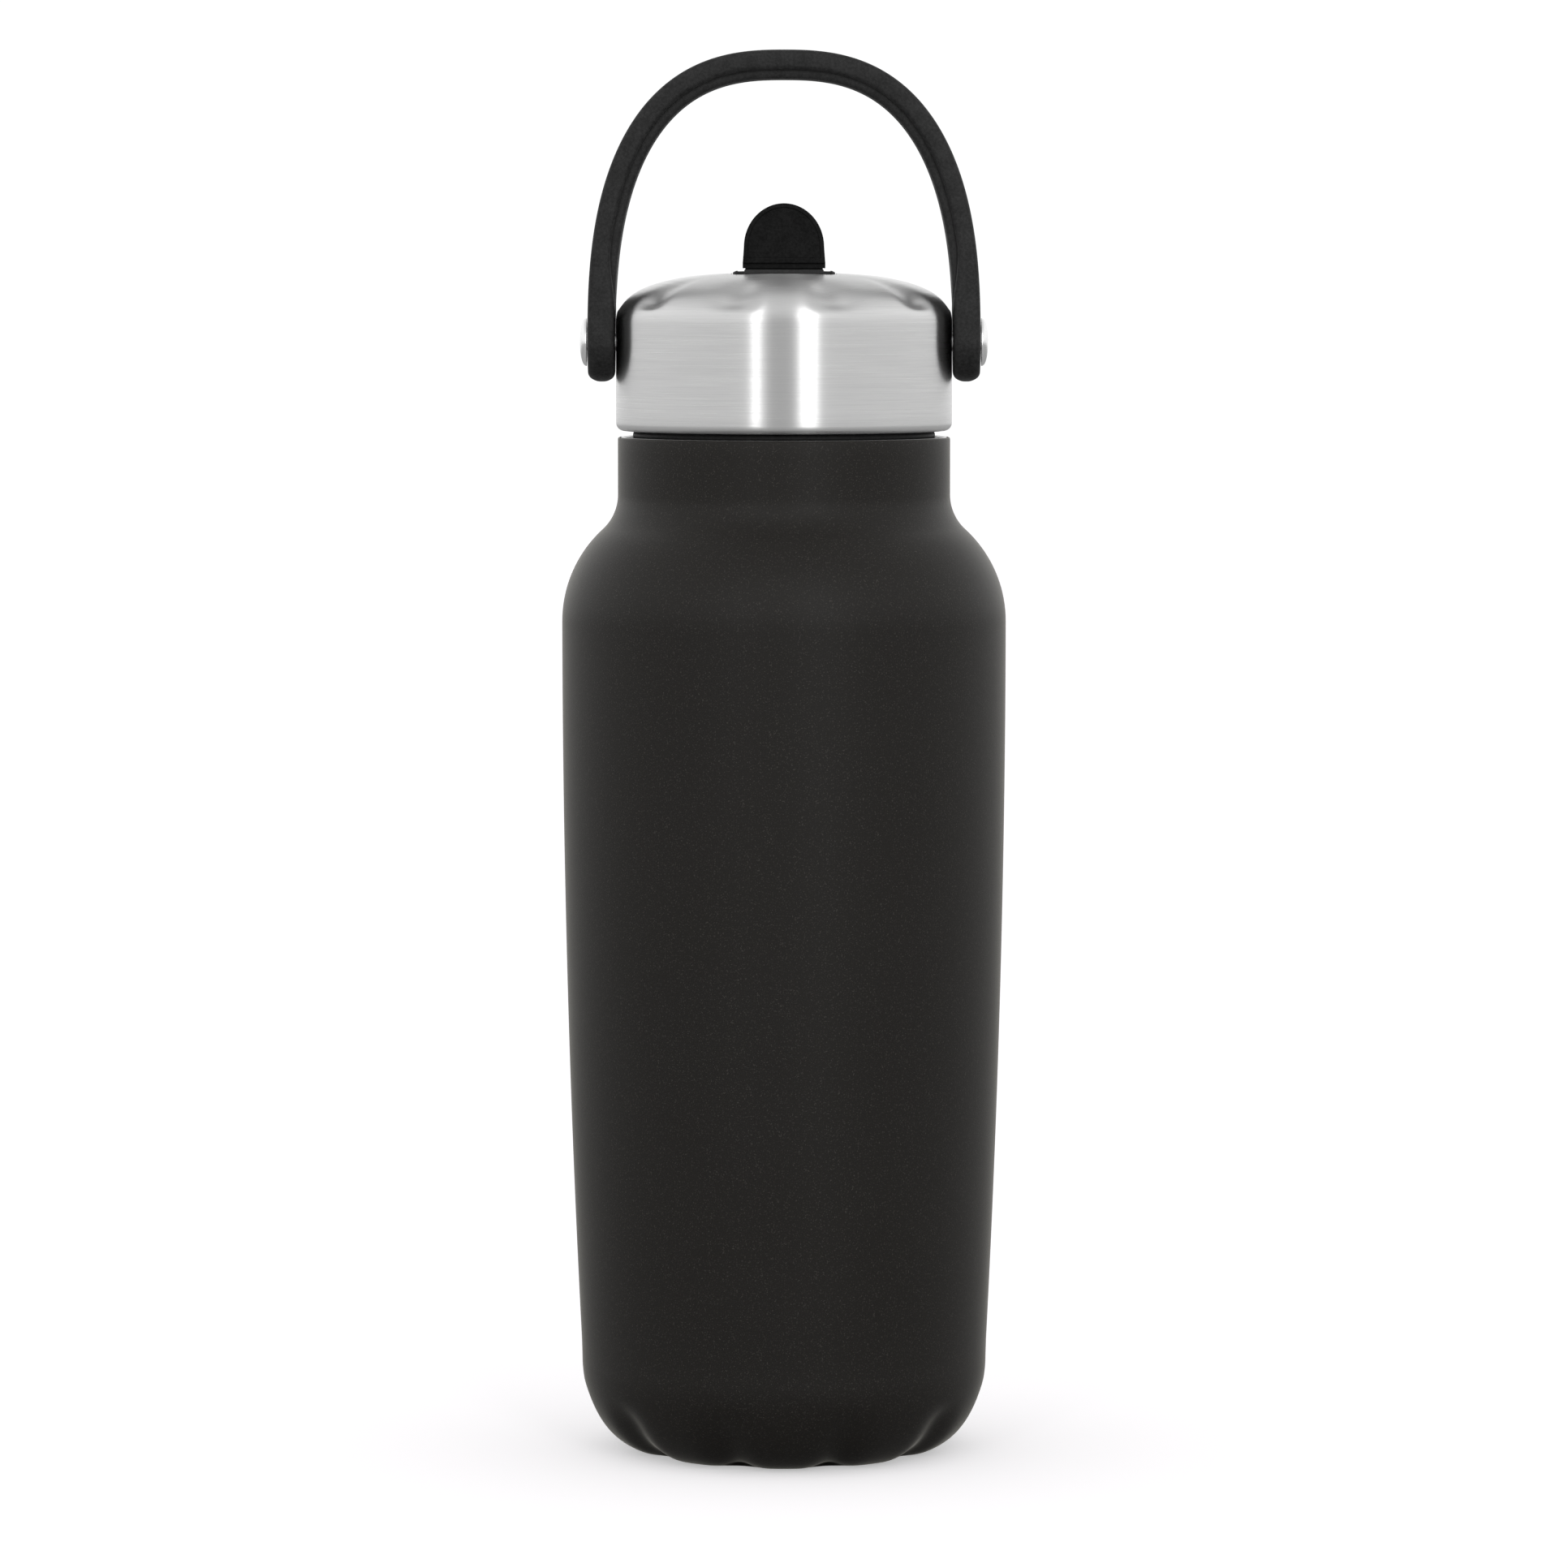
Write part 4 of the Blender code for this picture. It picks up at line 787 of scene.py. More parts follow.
WELL_WALL = 0.0017
RIM_TOP = 0.23975
RIM_BASE = 0.2283
RIM_ROUND = 0.0004
ROOM_CORNER = 0.0006
ROOM_FLOOR = 0.2299
STUB_R = 0.0056
POCKET_R = 0.0046
PIN_R = 0.0010
PIN_HOLE_START = 0.0070
VENT_HOLE_R = 0.0009
BORE_LOW = 0.220
LIP_HALF = 0.00825
LIP_BASE = 0.2385
LIP_EDGE = 0.2395
LIP_NARROWS = 0.96
RAIL_X = 0.00960
RAIL_HALF = 0.0002
RAIL_BASE = 0.2390
RAIL_TOP = 0.23985
RAIL_CORNER = 0.00018
rim_high = (well_high.x, well_high.y, RIM_TOP)
well_bm = block((well_low.x, well_low.y, RIM_BASE), rim_high, WELL_CORNER, 10, top_round=RIM_ROUND)
stub = rod(STUB_R, (0, spout_axis.y, well_low.z), (0, spout_axis.y, ROOM_FLOOR - 0.0005))
well_bm = combined(well_bm, [stub], "UNION")
lip_high = (LIP_HALF, well_low.y + WELL_WALL, well_high.z)
front_lip = block((-LIP_HALF, well_low.y, LIP_BASE), lip_high, 0.0, 0)
for vert in front_lip.verts:
    if vert.co.z > LIP_EDGE:
        vert.co.x *= LIP_NARROWS
lip_rim = [e for e in front_lip.edges if min(v.co.z for v in e.verts) > LIP_EDGE]
bmesh.ops.bevel(front_lip, geom=lip_rim, offset=0.0002, segments=3, profile=0.5, affect="EDGES", material=-1)
rails = []
for side in (-1, 1):
    rail_low = (side * RAIL_X - RAIL_HALF, well_low.y + 0.0012, RAIL_BASE)
    rail_high = (side * RAIL_X + RAIL_HALF, well_high.y - 0.002, RAIL_TOP)
    rails.append(block(rail_low, rail_high, RAIL_CORNER, 4, top_round=0.0001))
well_bm = combined(well_bm, [front_lip] + rails, "UNION")
room_low = (well_low.x + WELL_WALL, well_low.y + WELL_WALL, ROOM_FLOOR)
room_high = (well_high.x - WELL_WALL, well_high.y - WELL_WALL, well_high.z + 0.002)
well_cuts = [
    block(room_low, room_high, ROOM_CORNER, 5),
    rod(POCKET_R, (0, spout_axis.y, BORE_LOW), (0, spout_axis.y, ROOM_FLOOR + 0.001), 64),
    rod(VENT_HOLE_R, (0, VENT_Y, BORE_LOW), (0, VENT_Y, ROOM_FLOOR + 0.001), 24),
]
for side in (-1, 1):
    start = (side * PIN_HOLE_START, spout_axis.y, spout_axis.z)
    end = (side * (well_high.x + 0.001), spout_axis.y, spout_axis.z)
    well_cuts.append(rod(PIN_R + HOLE_GAP, start, end, 32))
well = shown(combined(well_bm, well_cuts, "DIFFERENCE"), "spout_bezel", PLASTIC)
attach(well, "lid")
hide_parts("spout_well")


# ---- drinking path -------------------------------------------------------------------------------
# From the straw up: a clear straw pushed on the tube's barbed nipple, the tube through the plug, and the
# black silicone seal that the spout's barrel turns on. A duckbill valve lets air back in behind them.


def natural_plastic():
    made, tree, _ = finish("natural_plastic", 0.3, Transmission_Weight=0.35, IOR=1.49)
    marks = use(tree, TURNING_MARKS, Lines=900.0)
    colour = blended(tree, marks.outputs["Band"], (0.60, 0.62, 0.62), (0.74, 0.76, 0.75))
    rough = scaled(tree, marks.outputs["Line"], 0.25, 0.42)
    return dressed(made, colour, rough, marks.outputs["Band"], 0.1, 0.00005)


NATURAL = natural_plastic()
path_centre = (0.0, spout_axis.y)
BORE_R = 0.0020
TUBE_BORE_R = 0.0019
STRAW_R = 0.0035
STRAW_BORE_R = 0.0028

seal_low, seal_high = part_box("spout_seal")
seal_r = POCKET_R - HOLE_GAP
seal_line = [(BORE_R, seal_high.z - 0.0002), (BORE_R + 0.0003, seal_high.z)]
seal_line += arc(seal_r - 0.0006, seal_high.z - 0.0006, 0.0006, 90, 0, 6)
seal_line += [(seal_r, seal_low.z + 0.0014), (seal_r - 0.0002, seal_low.z + 0.0011)]
seal_line += [(seal_r, seal_low.z + 0.0008), (seal_r, seal_low.z), (BORE_R, seal_low.z)]
seal = shown(turned(seal_line, 72, centre=path_centre), "spout_seal_ring", SILICONE)
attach(seal, "lid")
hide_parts("spout_seal")

tube_low, tube_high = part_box("drink_tube")
tube_line = [(TUBE_BORE_R, tube_high.z), (seal_r - 0.0002, tube_high.z), (seal_r, tube_high.z - 0.0002)]
tube_line += [(seal_r, 0.2252), (TUBE_R, 0.2246), (TUBE_R, 0.1890)]
tube_line += [(TUBE_R - 0.0004, 0.1886), (0.0025, 0.1880)]
tube_line += [(0.0024, 0.1856), (0.0025, 0.1846), (0.0024, 0.1842), (0.0024, 0.1828), (0.0025, 0.1818)]
tube_line += [(0.0022, tube_low.z), (TUBE_BORE_R, tube_low.z)]
tube = shown(turned(tube_line, 64, centre=path_centre), "barbed_tube", NATURAL)
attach(tube, "lid")
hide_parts("drink_tube")

straw_low, straw_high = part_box("straw")
straw_line = [(STRAW_BORE_R, straw_high.z), (STRAW_BORE_R + 0.0002, straw_high.z)]
straw_line += arc(STRAW_R - 0.0002, straw_high.z - 0.0002, 0.0002, 90, 0, 3)
straw_line += [(STRAW_R, z) for z in between(straw_high.z - 0.0002, straw_low.z + 0.0002, 20)]
straw_line += [(STRAW_R - 0.0002, straw_low.z), (STRAW_BORE_R, straw_low.z)]
straw = shown(turned(straw_line, 64, centre=path_centre), "clear_straw", NATURAL)
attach(straw, "lid")
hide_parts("straw")

valve_low, valve_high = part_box("vent_valve")
valve_line = [(0.0008, valve_high.z), (0.0027, valve_high.z), (0.0030, valve_high.z - 0.0003)]
valve_line += [(0.0030, valve_high.z - 0.0010), (VALVE_R, valve_high.z - 0.0010), (VALVE_R, 0.1880)]
valve_line += [(0.0017, 0.1868), (0.0011, valve_low.z + 0.0002), (0.0010, valve_low.z), (0.0008, valve_low.z)]
valve = shown(turned(valve_line, 48, centre=(0.0, VENT_Y)), "duckbill_valve", SILICONE)
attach(valve, "lid")
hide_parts("vent_valve")


# ---- spout ---------------------------------------------------------------------------------------
# One black moulding: a barrel that turns in the well, a block over it, and the grained tab that a thumb
# flips. The soft mouthpiece behind the tab is pushed on the block, and two steel pins carry the barrel.

TAB_WIDTH = 0.0161
TAB_FLARE = 0.00025
TAB_TOP = 0.2534
TAB_BOTTOM = 0.2404
TAB_STEP = 0.2413
TAB_THICKNESS = 0.0026
TAB_ARCH = 0.0087
TUCK = 0.0008
BARREL_R = 0.0044
BARREL_HALF = 0.0084
MOUTHPIECE_R = 0.0033
MOUTHPIECE_OVAL = 1.35
BLOCK_HALF = 0.0078
BLOCK_FRONT = 0.0043
BLOCK_BACK = 0.0036
BLOCK_TOP = 0.2415
CHANNEL_LOW = 0.228
CHANNEL_HIGH = 0.244
PIN_BORE = (0.0049, 0.0100)
tab_back = spout_axis.y - MOUTHPIECE_R - 2 * HOLE_GAP
tab_front = tab_back - TAB_THICKNESS

half = TAB_WIDTH / 2
tab_bm = bmesh.new()
tab_corners = [(half + TAB_FLARE, TAB_STEP)]
for step in range(57):
    turn = math.pi * step / 56
    tab_corners.append((half * math.cos(turn), TAB_TOP - TAB_ARCH * (1 - math.sin(turn))))
tab_corners.append((-half - TAB_FLARE, TAB_STEP))
tab_face = tab_bm.faces.new([tab_bm.verts.new((x, tab_front, z)) for x, z in tab_corners])
tab_grown = bmesh.ops.extrude_face_region(tab_bm, geom=[tab_face])
tab_back_verts = [item for item in tab_grown["geom"] if isinstance(item, bmesh.types.BMVert)]
bmesh.ops.translate(tab_bm, verts=tab_back_verts, vec=(0.0, TAB_THICKNESS, 0.0))
bmesh.ops.recalc_face_normals(tab_bm, faces=tab_bm.faces[:])
tab_bm.normal_update()
tab_rims = [e for e in tab_bm.edges if any(abs(f.normal.y) > 0.9 for f in e.link_faces)]
bmesh.ops.bevel(tab_bm, geom=tab_rims, offset=0.0004, segments=4, profile=0.5, affect="EDGES", material=-1)
tab_bm.normal_update()
panel = max(tab_bm.faces, key=lambda face: -face.normal.y * face.calc_area())
bmesh.ops.inset_region(tab_bm, faces=[panel], thickness=0.00035, use_even_offset=True)
for vert in panel.verts:
    vert.co.z = max(vert.co.z, TAB_STEP + 0.0011)
bmesh.ops.inset_region(tab_bm, faces=[panel], thickness=0.00022, depth=-0.00022, use_even_offset=True)
foot_half = half + TAB_FLARE
foot_low = (-foot_half, tab_front + TUCK, TAB_BOTTOM)
foot = block(foot_low, (foot_half, tab_back, TAB_STEP + 0.0004), 0.0002, 3)
neck_low = (-BLOCK_HALF, spout_axis.y - BLOCK_FRONT, spout_axis.z + 0.001)
neck_high = (BLOCK_HALF, spout_axis.y + BLOCK_BACK, BLOCK_TOP)
neck = block(neck_low, neck_high, 0.0008, 5, top_round=0.0005)
barrel_ends = [(side * BARREL_HALF, spout_axis.y, spout_axis.z) for side in (-1, 1)]
barrel = rod(BARREL_R, *barrel_ends, 96)
barrel_rims = [
    e for e in barrel.edges if abs(abs(e.verts[0].co.x + e.verts[1].co.x) / 2 - BARREL_HALF) < WELD
]
bmesh.ops.bevel(
    barrel, geom=barrel_rims, offset=0.0003, segments=3, profile=0.5, affect="EDGES", material=-1
)
tab_bm = combined(tab_bm, [foot, neck, barrel], "UNION")
tab_cuts = [rod(BORE_R, (0, spout_axis.y, CHANNEL_LOW), (0, spout_axis.y, CHANNEL_HIGH))]
for side in (-1, 1):
    start, end = ((side * x, spout_axis.y, spout_axis.z) for x in PIN_BORE)
    tab_cuts.append(rod(PIN_R + HOLE_GAP, start, end, 32))
TAB_PLASTIC = black_plastic("tab_plastic", 0.52, 1900.0, 0.00009, grey(0.003), grey(0.010), gloss=0.10)
tab = shown(combined(tab_bm, tab_cuts, "DIFFERENCE"), "flip_tab", TAB_PLASTIC)
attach(tab, "spout")
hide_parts("spout_tab")

nozzle_low, nozzle_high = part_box("mouthpiece")
lip_r = 0.0004
nozzle_line = arc(BORE_R + lip_r, nozzle_high.z - lip_r, lip_r, 180, 90, 4)
nozzle_line += arc(MOUTHPIECE_R - 0.0002 - 0.0007, nozzle_high.z - 0.0007, 0.0007, 90, 0, 6)
nozzle_line += arc(MOUTHPIECE_R + 0.0021, nozzle_high.z - 0.0030, 0.0026, 165, 200, 8)
nozzle_line += [(MOUTHPIECE_R, nozzle_low.z + 0.0015), (MOUTHPIECE_R, nozzle_low.z + 0.0002)]
nozzle_line += [(MOUTHPIECE_R - 0.0002, nozzle_low.z), (BORE_R, nozzle_low.z)]
nozzle_bm = turned(nozzle_line, 96)
bmesh.ops.scale(nozzle_bm, verts=nozzle_bm.verts[:], vec=(MOUTHPIECE_OVAL, 1.0, 1.0))
bmesh.ops.translate(nozzle_bm, verts=nozzle_bm.verts[:], vec=(0.0, spout_axis.y, 0.0))
nozzle = shown(nozzle_bm, "soft_mouthpiece", SILICONE)
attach(nozzle, "spout")
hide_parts("mouthpiece")

for word in ("left", "right"):
    pin_low, pin_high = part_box(f"spout_pin_{word}")
    pin_r = (pin_high.z - pin_low.z) / 2
    half_length = (pin_high.x - pin_low.x) / 2
    pin_line = [(0.0, half_length), (pin_r - 0.0002, half_length), (pin_r, half_length - 0.0002)]
    pin_line += [(r, -z) for r, z in pin_line[::-1]]
    pin_bm = turned(pin_line, 32, closed=False)
    bmesh.ops.rotate(pin_bm, verts=pin_bm.verts[:], matrix=Matrix.Rotation(math.radians(90), 3, "Y"))
    bmesh.ops.translate(pin_bm, verts=pin_bm.verts[:], vec=(pin_low + pin_high) / 2)
    pin = shown(pin_bm, f"hinge_pin_{word}", STEEL)
    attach(pin, "lid")
    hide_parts(f"spout_pin_{word}")


# ---- bail handle ---------------------------------------------------------------------------------
# A wide strap of fine-grained black plastic, bent over the lid, with a narrower soft lining bonded to its
# inside. Its two round-ended legs turn on the rivets.

BAIL_POWER = 2.55
BAIL_THICKNESS = 0.00585
LEG_THICKNESS = 0.0054
STRAP_DEPTH = 0.0165
STRAP_LEG_END = 0.0080
LINING_THICKNESS = 0.0018
LINING_DEPTH = 0.0134
LINING_LEG_END = -0.0045
TAPER_START = 0.0060
TAPER_LENGTH = 0.0140
LEG_CORNER_R = 0.0020
SPACER_R = 0.0040
bail_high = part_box("handle_strap")[1]
BAIL_HALF = bail_high.x
BAIL_HEIGHT = bail_high.z - pivot.z
LINING_START = BAIL_THICKNESS - LINING_THICKNESS
ARCH_SAMPLES = 1200


def bail_route():
    """The strap's outer face from one pivot over the top to the other: points, inward directions and
    run lengths."""
    points, inwards, runs = [], [], [0.0]
    for i in range(ARCH_SAMPLES + 1):
        angle = math.pi * (1 - i / ARCH_SAMPLES)
        c, s = math.cos(angle), max(0.0, math.sin(angle))
        x = math.copysign(abs(c) ** (2 / BAIL_POWER), c) * BAIL_HALF
        z = s ** (2 / BAIL_POWER) * BAIL_HEIGHT
        slope_x = math.copysign(abs(x / BAIL_HALF) ** (BAIL_POWER - 1) / BAIL_HALF, x)
        slope_z = (z / BAIL_HEIGHT) ** (BAIL_POWER - 1) / BAIL_HEIGHT
        points.append(Vector((x, 0.0, z + pivot.z)))
        inwards.append(-Vector((slope_x, 0.0, slope_z)).normalized())
        if i:
            runs.append(runs[-1] + (points[-1] - points[-2]).length)
    return points, inwards, runs


ROUTE, INWARDS, RUNS = bail_route()


def leg_share(run):
    """How much of the lining's thickness the strap has taken over: none on the arch, all of it at a
    leg's end."""
    from_pivot = min(run, RUNS[-1] - run)
    share = min(1.0, max(0.0, (TAPER_START + TAPER_LENGTH - from_pivot) / TAPER_LENGTH))
    return share * share * (3 - 2 * share)


def strap_depth(run, depth_in):
    """The strap's own depth at a point: thicker down the legs, and rounded off at their ends."""
    deeper = depth_in * (1 + leg_share(run) * (BAIL_THICKNESS / LINING_START - 1))
    past = max(0.0, -min(run, RUNS[-1] - run) - (STRAP_LEG_END - LEG_CORNER_R))
    shrink = LEG_CORNER_R - math.sqrt(max(0.0, LEG_CORNER_R**2 - past**2))
    return deeper + shrink * (1 - 2 * deeper / BAIL_THICKNESS)


def lining_depth(run, depth_in):
    """The lining's own depth at a point: its bonded side comes up to its soft side where the strap
    takes over."""
    from_soft_side = (BAIL_THICKNESS - depth_in) * (1 - 0.94 * leg_share(run))
    return BAIL_THICKNESS - from_soft_side


def bent(run, depth_in, y):
    """A point of the flat strap, given along its run from the first pivot, put where the bent strap
    has it."""
    if run <= 0.0:
        place, inward = ROUTE[0] + Vector((0.0, 0.0, run)), INWARDS[0]
    elif run >= RUNS[-1]:
        place, inward = ROUTE[-1] - Vector((0.0, 0.0, run - RUNS[-1])), INWARDS[-1]
    else:
        after = max(1, bisect_left(RUNS, run))
        share = (run - RUNS[after - 1]) / (RUNS[after] - RUNS[after - 1])
        place = ROUTE[after - 1].lerp(ROUTE[after], share)
        inward = INWARDS[after - 1].lerp(INWARDS[after], share).normalized()
    up = max(0.0, place.z - pivot.z) / BAIL_HEIGHT
    thinner = 1 - (1 - LEG_THICKNESS / BAIL_THICKNESS) * (1 - up)
    return place + inward * depth_in * thinner + Vector((0.0, y, 0.0))


def strap(near, far, depth, leg_end, near_round, far_round, depth_at):
    """A round-ended strip, cut flat with rounded edges, sliced across, and then bent along the bail's
    route."""
    bm = bmesh.new()
    corners = []
    for middle, first in ((RUNS[-1], -90), (0.0, 90)):
        for step in range(33):
            turn = math.radians(first + 180 * step / 32)
            past = leg_end - STRAP_LEG_END * (1 - abs(math.cos(turn)))
            corners.append((middle + past if middle else -past, depth / 2 * math.sin(turn), near))
    face = bm.faces.new([bm.verts.new(corner) for corner in corners])
    grown = bmesh.ops.extrude_face_region(bm, geom=[face])
    far_verts = [item for item in grown["geom"] if isinstance(item, bmesh.types.BMVert)]
    bmesh.ops.translate(bm, verts=far_verts, vec=(0.0, 0.0, far - near))
    bmesh.ops.recalc_face_normals(bm, faces=bm.faces[:])
    for height, size in ((near, near_round), (far, far_round)):
        rim = [e for e in bm.edges if all(abs(v.co.z - height) < WELD for v in e.verts)]
        bmesh.ops.bevel(bm, geom=rim, offset=size, segments=5, profile=0.5, affect="EDGES", material=-1)
    slices = 170
    for i in range(1, slices):
        run = -leg_end + (RUNS[-1] + 2 * leg_end) * i / slices
        geometry = bm.verts[:] + bm.edges[:] + bm.faces[:]
        bmesh.ops.bisect_plane(bm, geom=geometry, dist=WELD, plane_co=(run, 0, 0), plane_no=(1, 0, 0))
    for vert in bm.verts:
        vert.co = bent(vert.co.x, depth_at(vert.co.x, vert.co.z), vert.co.y)
    bmesh.ops.recalc_face_normals(bm, faces=bm.faces[:])
    return bm


def leg_bores(radius, reach):
    return [rod(radius, (side * 0.032, 0, pivot.z), (side * reach, 0, pivot.z), 40) for side in (-1, 1)]


STRAP_PLASTIC = black_plastic("strap_plastic", 0.50, 1700.0, 0.0001, grey(0.007), grey(0.024))
strap_bm = strap(0.0, LINING_START, STRAP_DEPTH, STRAP_LEG_END, 0.0011, 0.0009, strap_depth)
spacer_seat = BAIL_HALF - LEG_THICKNESS * (1 - LINING_THICKNESS / BAIL_THICKNESS)
bores = leg_bores(rivet_r + HOLE_GAP, BAIL_HALF + 0.002)
bores += leg_bores(SPACER_R + HOLE_GAP, spacer_seat + HOLE_GAP)
handle_strap = shown(combined(strap_bm, bores, "DIFFERENCE"), "bail_strap", STRAP_PLASTIC)
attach(handle_strap, "handle")
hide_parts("handle_strap")

SOFT = black_plastic("soft_black", 0.60, 1900.0, 0.00008, grey(0.013), grey(0.030))
lining_near = LINING_START - 0.0002
lining_bm = strap(lining_near, BAIL_THICKNESS, LINING_DEPTH, LINING_LEG_END, 0.0002, 0.0012, lining_depth)
lining = shown(lining_bm, "soft_lining", SOFT)
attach(lining, "handle")
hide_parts("handle_lining")


# ---- pivots --------------------------------------------------------------------------------------
# On each side a stainless rivet with a spun dome goes through the strap, a nylon spacer and the lid's wall,
# and is headed over a steel washer inside the plug.

RIVET_HEAD_R = 0.00485
DOME_HEIGHT = 0.0014


def sideways(bm, side):
    """Lays a piece turned about Z along X, with its top pointing outwards, at the height of the pivots."""
    bmesh.ops.rotate(bm, verts=bm.verts[:], matrix=Matrix.Rotation(math.radians(90 * side), 3, "Y"))
    bmesh.ops.translate(bm, verts=bm.verts[:], vec=(0.0, 0.0, pivot.z))
    return bm


def spun_steel():
    """Rivet steel with the rings of the tool that spun its head."""
    made, tree, _ = finish("rivet_steel", 0.34, 1.0)
    place = node(tree, "TexCoord").outputs["Object"]
    centred = node(tree, "VectorMath", {0: place, 1: (0.0, 0.0, -pivot.z)}, operation="ADD").outputs[0]
    parts = node(tree, "SeparateXYZ", {0: centred}).outputs
    flat = node(tree, "CombineXYZ", {1: parts[1], 2: parts[2]}).outputs[0]
    radius = node(tree, "VectorMath", {0: flat}, operation="LENGTH").outputs["Value"]
    ring_place = node(tree, "Math", {0: radius, 1: 5200.0}, operation="MULTIPLY").outputs[0]
    at = {"W": ring_place, "Scale": 1.0, "Detail": 2.0}
    rings = node(tree, "TexNoise", at, noise_dimensions="1D").outputs[0]
    colour = blended(tree, rings, grey(0.93), grey(0.98))
    rough = scaled(tree, rings, 0.20, 0.32)
    return dressed(made, colour, rough, rings, 0.35, 0.00003)


def nylon():
    made, tree, _ = finish("nylon", 0.45, Specular_IOR_Level=0.15)
    grain = use(tree, FINE_GRAIN, Scale=1500.0)
    colour = blended(tree, grain.outputs["Tone"], grey(0.004), grey(0.008))
    return dressed(made, colour, None, grain.outputs["Height"], 0.3, 0.00004)


RIVET_STEEL = spun_steel()
NYLON = nylon()
head_base = BAIL_HALF + HOLE_GAP
rivet_line = []
for step in range(15):
    turn = math.radians(90 * step / 14)
    height = DOME_HEIGHT * math.cos(turn) ** 0.8 if step < 14 else 0.00012
    rivet_line.append((RIVET_HEAD_R * math.sin(turn), head_base + max(height, 0.00012)))
rivet_line[0] = (0.0, head_base + DOME_HEIGHT)
rivet_line += [(RIVET_HEAD_R, head_base), (rivet_r, head_base), (rivet_r, 0.0286), (0.0027, 0.0286)]
rivet_line += [(0.0029, 0.0284), (0.0029, 0.0281), (0.0026, 0.0277), (0.0018, 0.0275), (0.0, 0.0275)]
washer_line = [(rivet_r + HOLE_GAP, 0.0295), (0.0040, 0.0295), (0.0041, 0.0294), (0.0041, 0.0290)]
washer_line += [(0.0040, 0.0289), (rivet_r + HOLE_GAP, 0.0289)]
spacer_in = BAIL_HALF - LEG_THICKNESS - 0.00005
spacer_line = [(rivet_r + HOLE_GAP, spacer_seat), (SPACER_R, spacer_seat), (SPACER_R, spacer_in + 0.0002)]
spacer_line += [(SPACER_R - 0.0002, spacer_in), (rivet_r + HOLE_GAP, spacer_in)]
for word, side in (("left", -1), ("right", 1)):
    for name, line, closed, look, stands_for, slot in (
        ("domed_rivet", rivet_line, False, RIVET_STEEL, "pivot_rivet", "brushed_steel"),
        ("inner_washer", washer_line, True, STEEL, "rivet_washer", "bare_steel"),
        ("nylon_spacer", spacer_line, True, NYLON, "pivot_spacer", "nylon"),
    ):
        fitting = shown(sideways(turned(line, 96, closed=closed), side), f"{name}_{word}", look)
        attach(fitting, "lid")
        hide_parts(f"{stands_for}_{word}")


# ---- studio --------------------------------------------------------------------------------------
# A plain white floor under a bright tent: two tall strip lights beside the camera, and an even white
# surround that is a little darker overhead and in a band behind the camera.


FLOOR_GLOW = 0.42


def stage_floor():
    bm = bmesh.new()
    bmesh.ops.create_grid(bm, x_segments=1, y_segments=1, size=6.0)
    made, tree, shader = finish("floor_white", 0.9, Specular_IOR_Level=0.0)
    seen = node(tree, "LightPath").outputs["Is Camera Ray"]
    tree.links.new(blended(tree, seen, grey(0.42), (0.82, 0.80, 0.82)), shader.inputs["Base Color"])
    tree.links.new(blended(tree, seen, grey(0.0), (1.0, 1.0, 1.0)), shader.inputs["Emission Color"])
    shader.inputs["Emission Strength"].default_value = FLOOR_GLOW
    return shown(bm, "studio_floor", made)


def area_light(name, place, aim, width, height, radiance):
    light = bpy.data.lights.new(name, "AREA")
    light.shape = "RECTANGLE"
    light.size = width
    light.size_y = height
    light.energy = radiance * math.pi * width * height
    obj = bpy.data.objects.new(name, light)
    bpy.context.scene.collection.objects.link(obj)
    obj.location = place
    obj.rotation_euler = (Vector(aim) - Vector(place)).to_track_quat("-Z", "Y").to_euler()
    return obj


def around(azimuth, distance, height):
    """A place at an angle to the right of the camera's side, in degrees."""
    angle = math.radians(azimuth)
    return (distance * math.sin(angle), -distance * math.cos(angle), height)


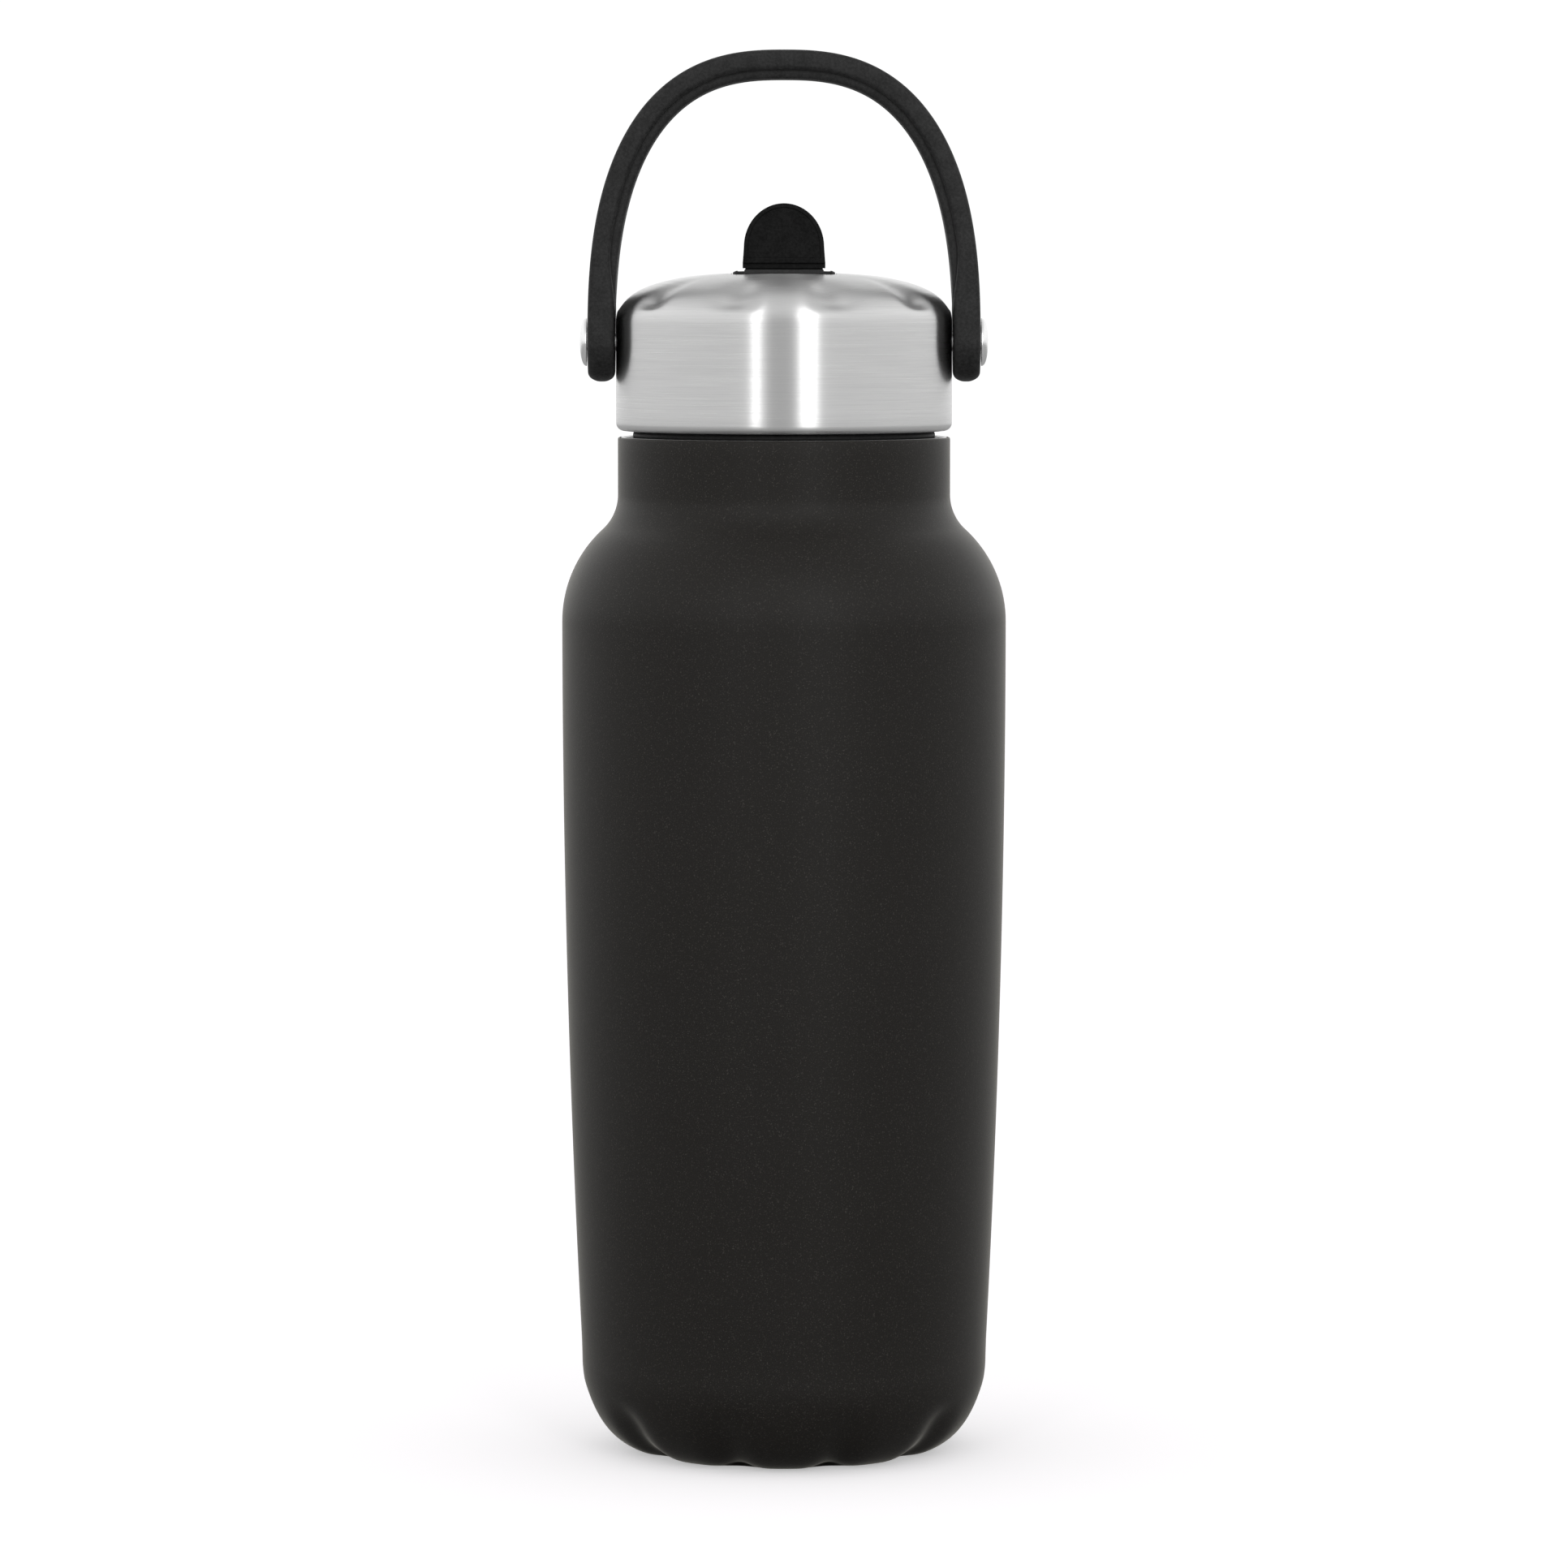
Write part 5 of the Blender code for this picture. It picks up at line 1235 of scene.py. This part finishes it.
def studio_world():
    world = bpy.data.worlds.new("studio")
    world.use_nodes = True
    tree = world.node_tree
    background = tree.nodes["Background"]
    parts = node(tree, "SeparateXYZ", {0: node(tree, "TexCoord").outputs["Generated"]}).outputs
    overhead = node(tree, "MapRange", {"Value": parts[2], "From Min": 0.35, "From Max": 0.9})
    surround = blended(tree, overhead.outputs["Result"], grey(1.0), grey(0.64))
    towards = node(tree, "Math", {0: parts[1], 1: -1.0}, operation="MULTIPLY").outputs[0]
    towards = node(tree, "Math", {0: towards, 1: 0.001}, operation="MAXIMUM").outputs[0]
    aside = node(tree, "Math", {0: parts[0], 1: towards}, operation="DIVIDE").outputs[0]
    aside = node(tree, "Math", {0: aside, 1: 0.034}, operation="ADD").outputs[0]
    aside = node(tree, "Math", {0: aside}, operation="ABSOLUTE").outputs[0]
    beside = node(tree, "MapRange", {"Value": aside, "From Min": 0.15, "From Max": 0.20}).outputs["Result"]
    above = node(tree, "MapRange", {"Value": parts[2], "From Min": 0.30, "From Max": 0.55}).outputs["Result"]
    beside = node(tree, "Math", {0: beside, 1: above}, operation="MAXIMUM").outputs[0]
    tent = node(tree, "Mix", {0: beside, 6: (*grey(0.44), 1.0), 7: surround}, data_type="RGBA").outputs[2]
    seen = node(tree, "LightPath").outputs["Is Camera Ray"]
    white = node(tree, "Mix", {0: seen, 6: tent, 7: (1.05, 1.05, 1.05, 1.0)}, data_type="RGBA").outputs[2]
    tree.links.new(white, background.inputs["Color"])
    return world


floor = stage_floor()
bpy.context.scene.world = studio_world()
area_light("strip_left", around(-19.0, 1.6, 0.80), (0, 0, 0.80), 0.15, 1.6, 2.3)
area_light("strip_right", around(16.8, 1.6, 0.80), (0, 0, 0.80), 0.33, 1.6, 2.1)

camera_data = bpy.data.cameras.new("camera")
camera_data.lens = 163.07
camera_data.sensor_width = 36.0
camera = bpy.data.objects.new("camera", camera_data)
bpy.context.scene.collection.objects.link(camera)
camera.location = (0.0, -1.440, 0.24284)
camera.rotation_euler = (math.radians(90 - 4.251), 0.0, 0.0)
bpy.context.scene.camera = camera
bpy.context.scene.view_settings.view_transform = "Standard"

bpy.context.view_layer.update()
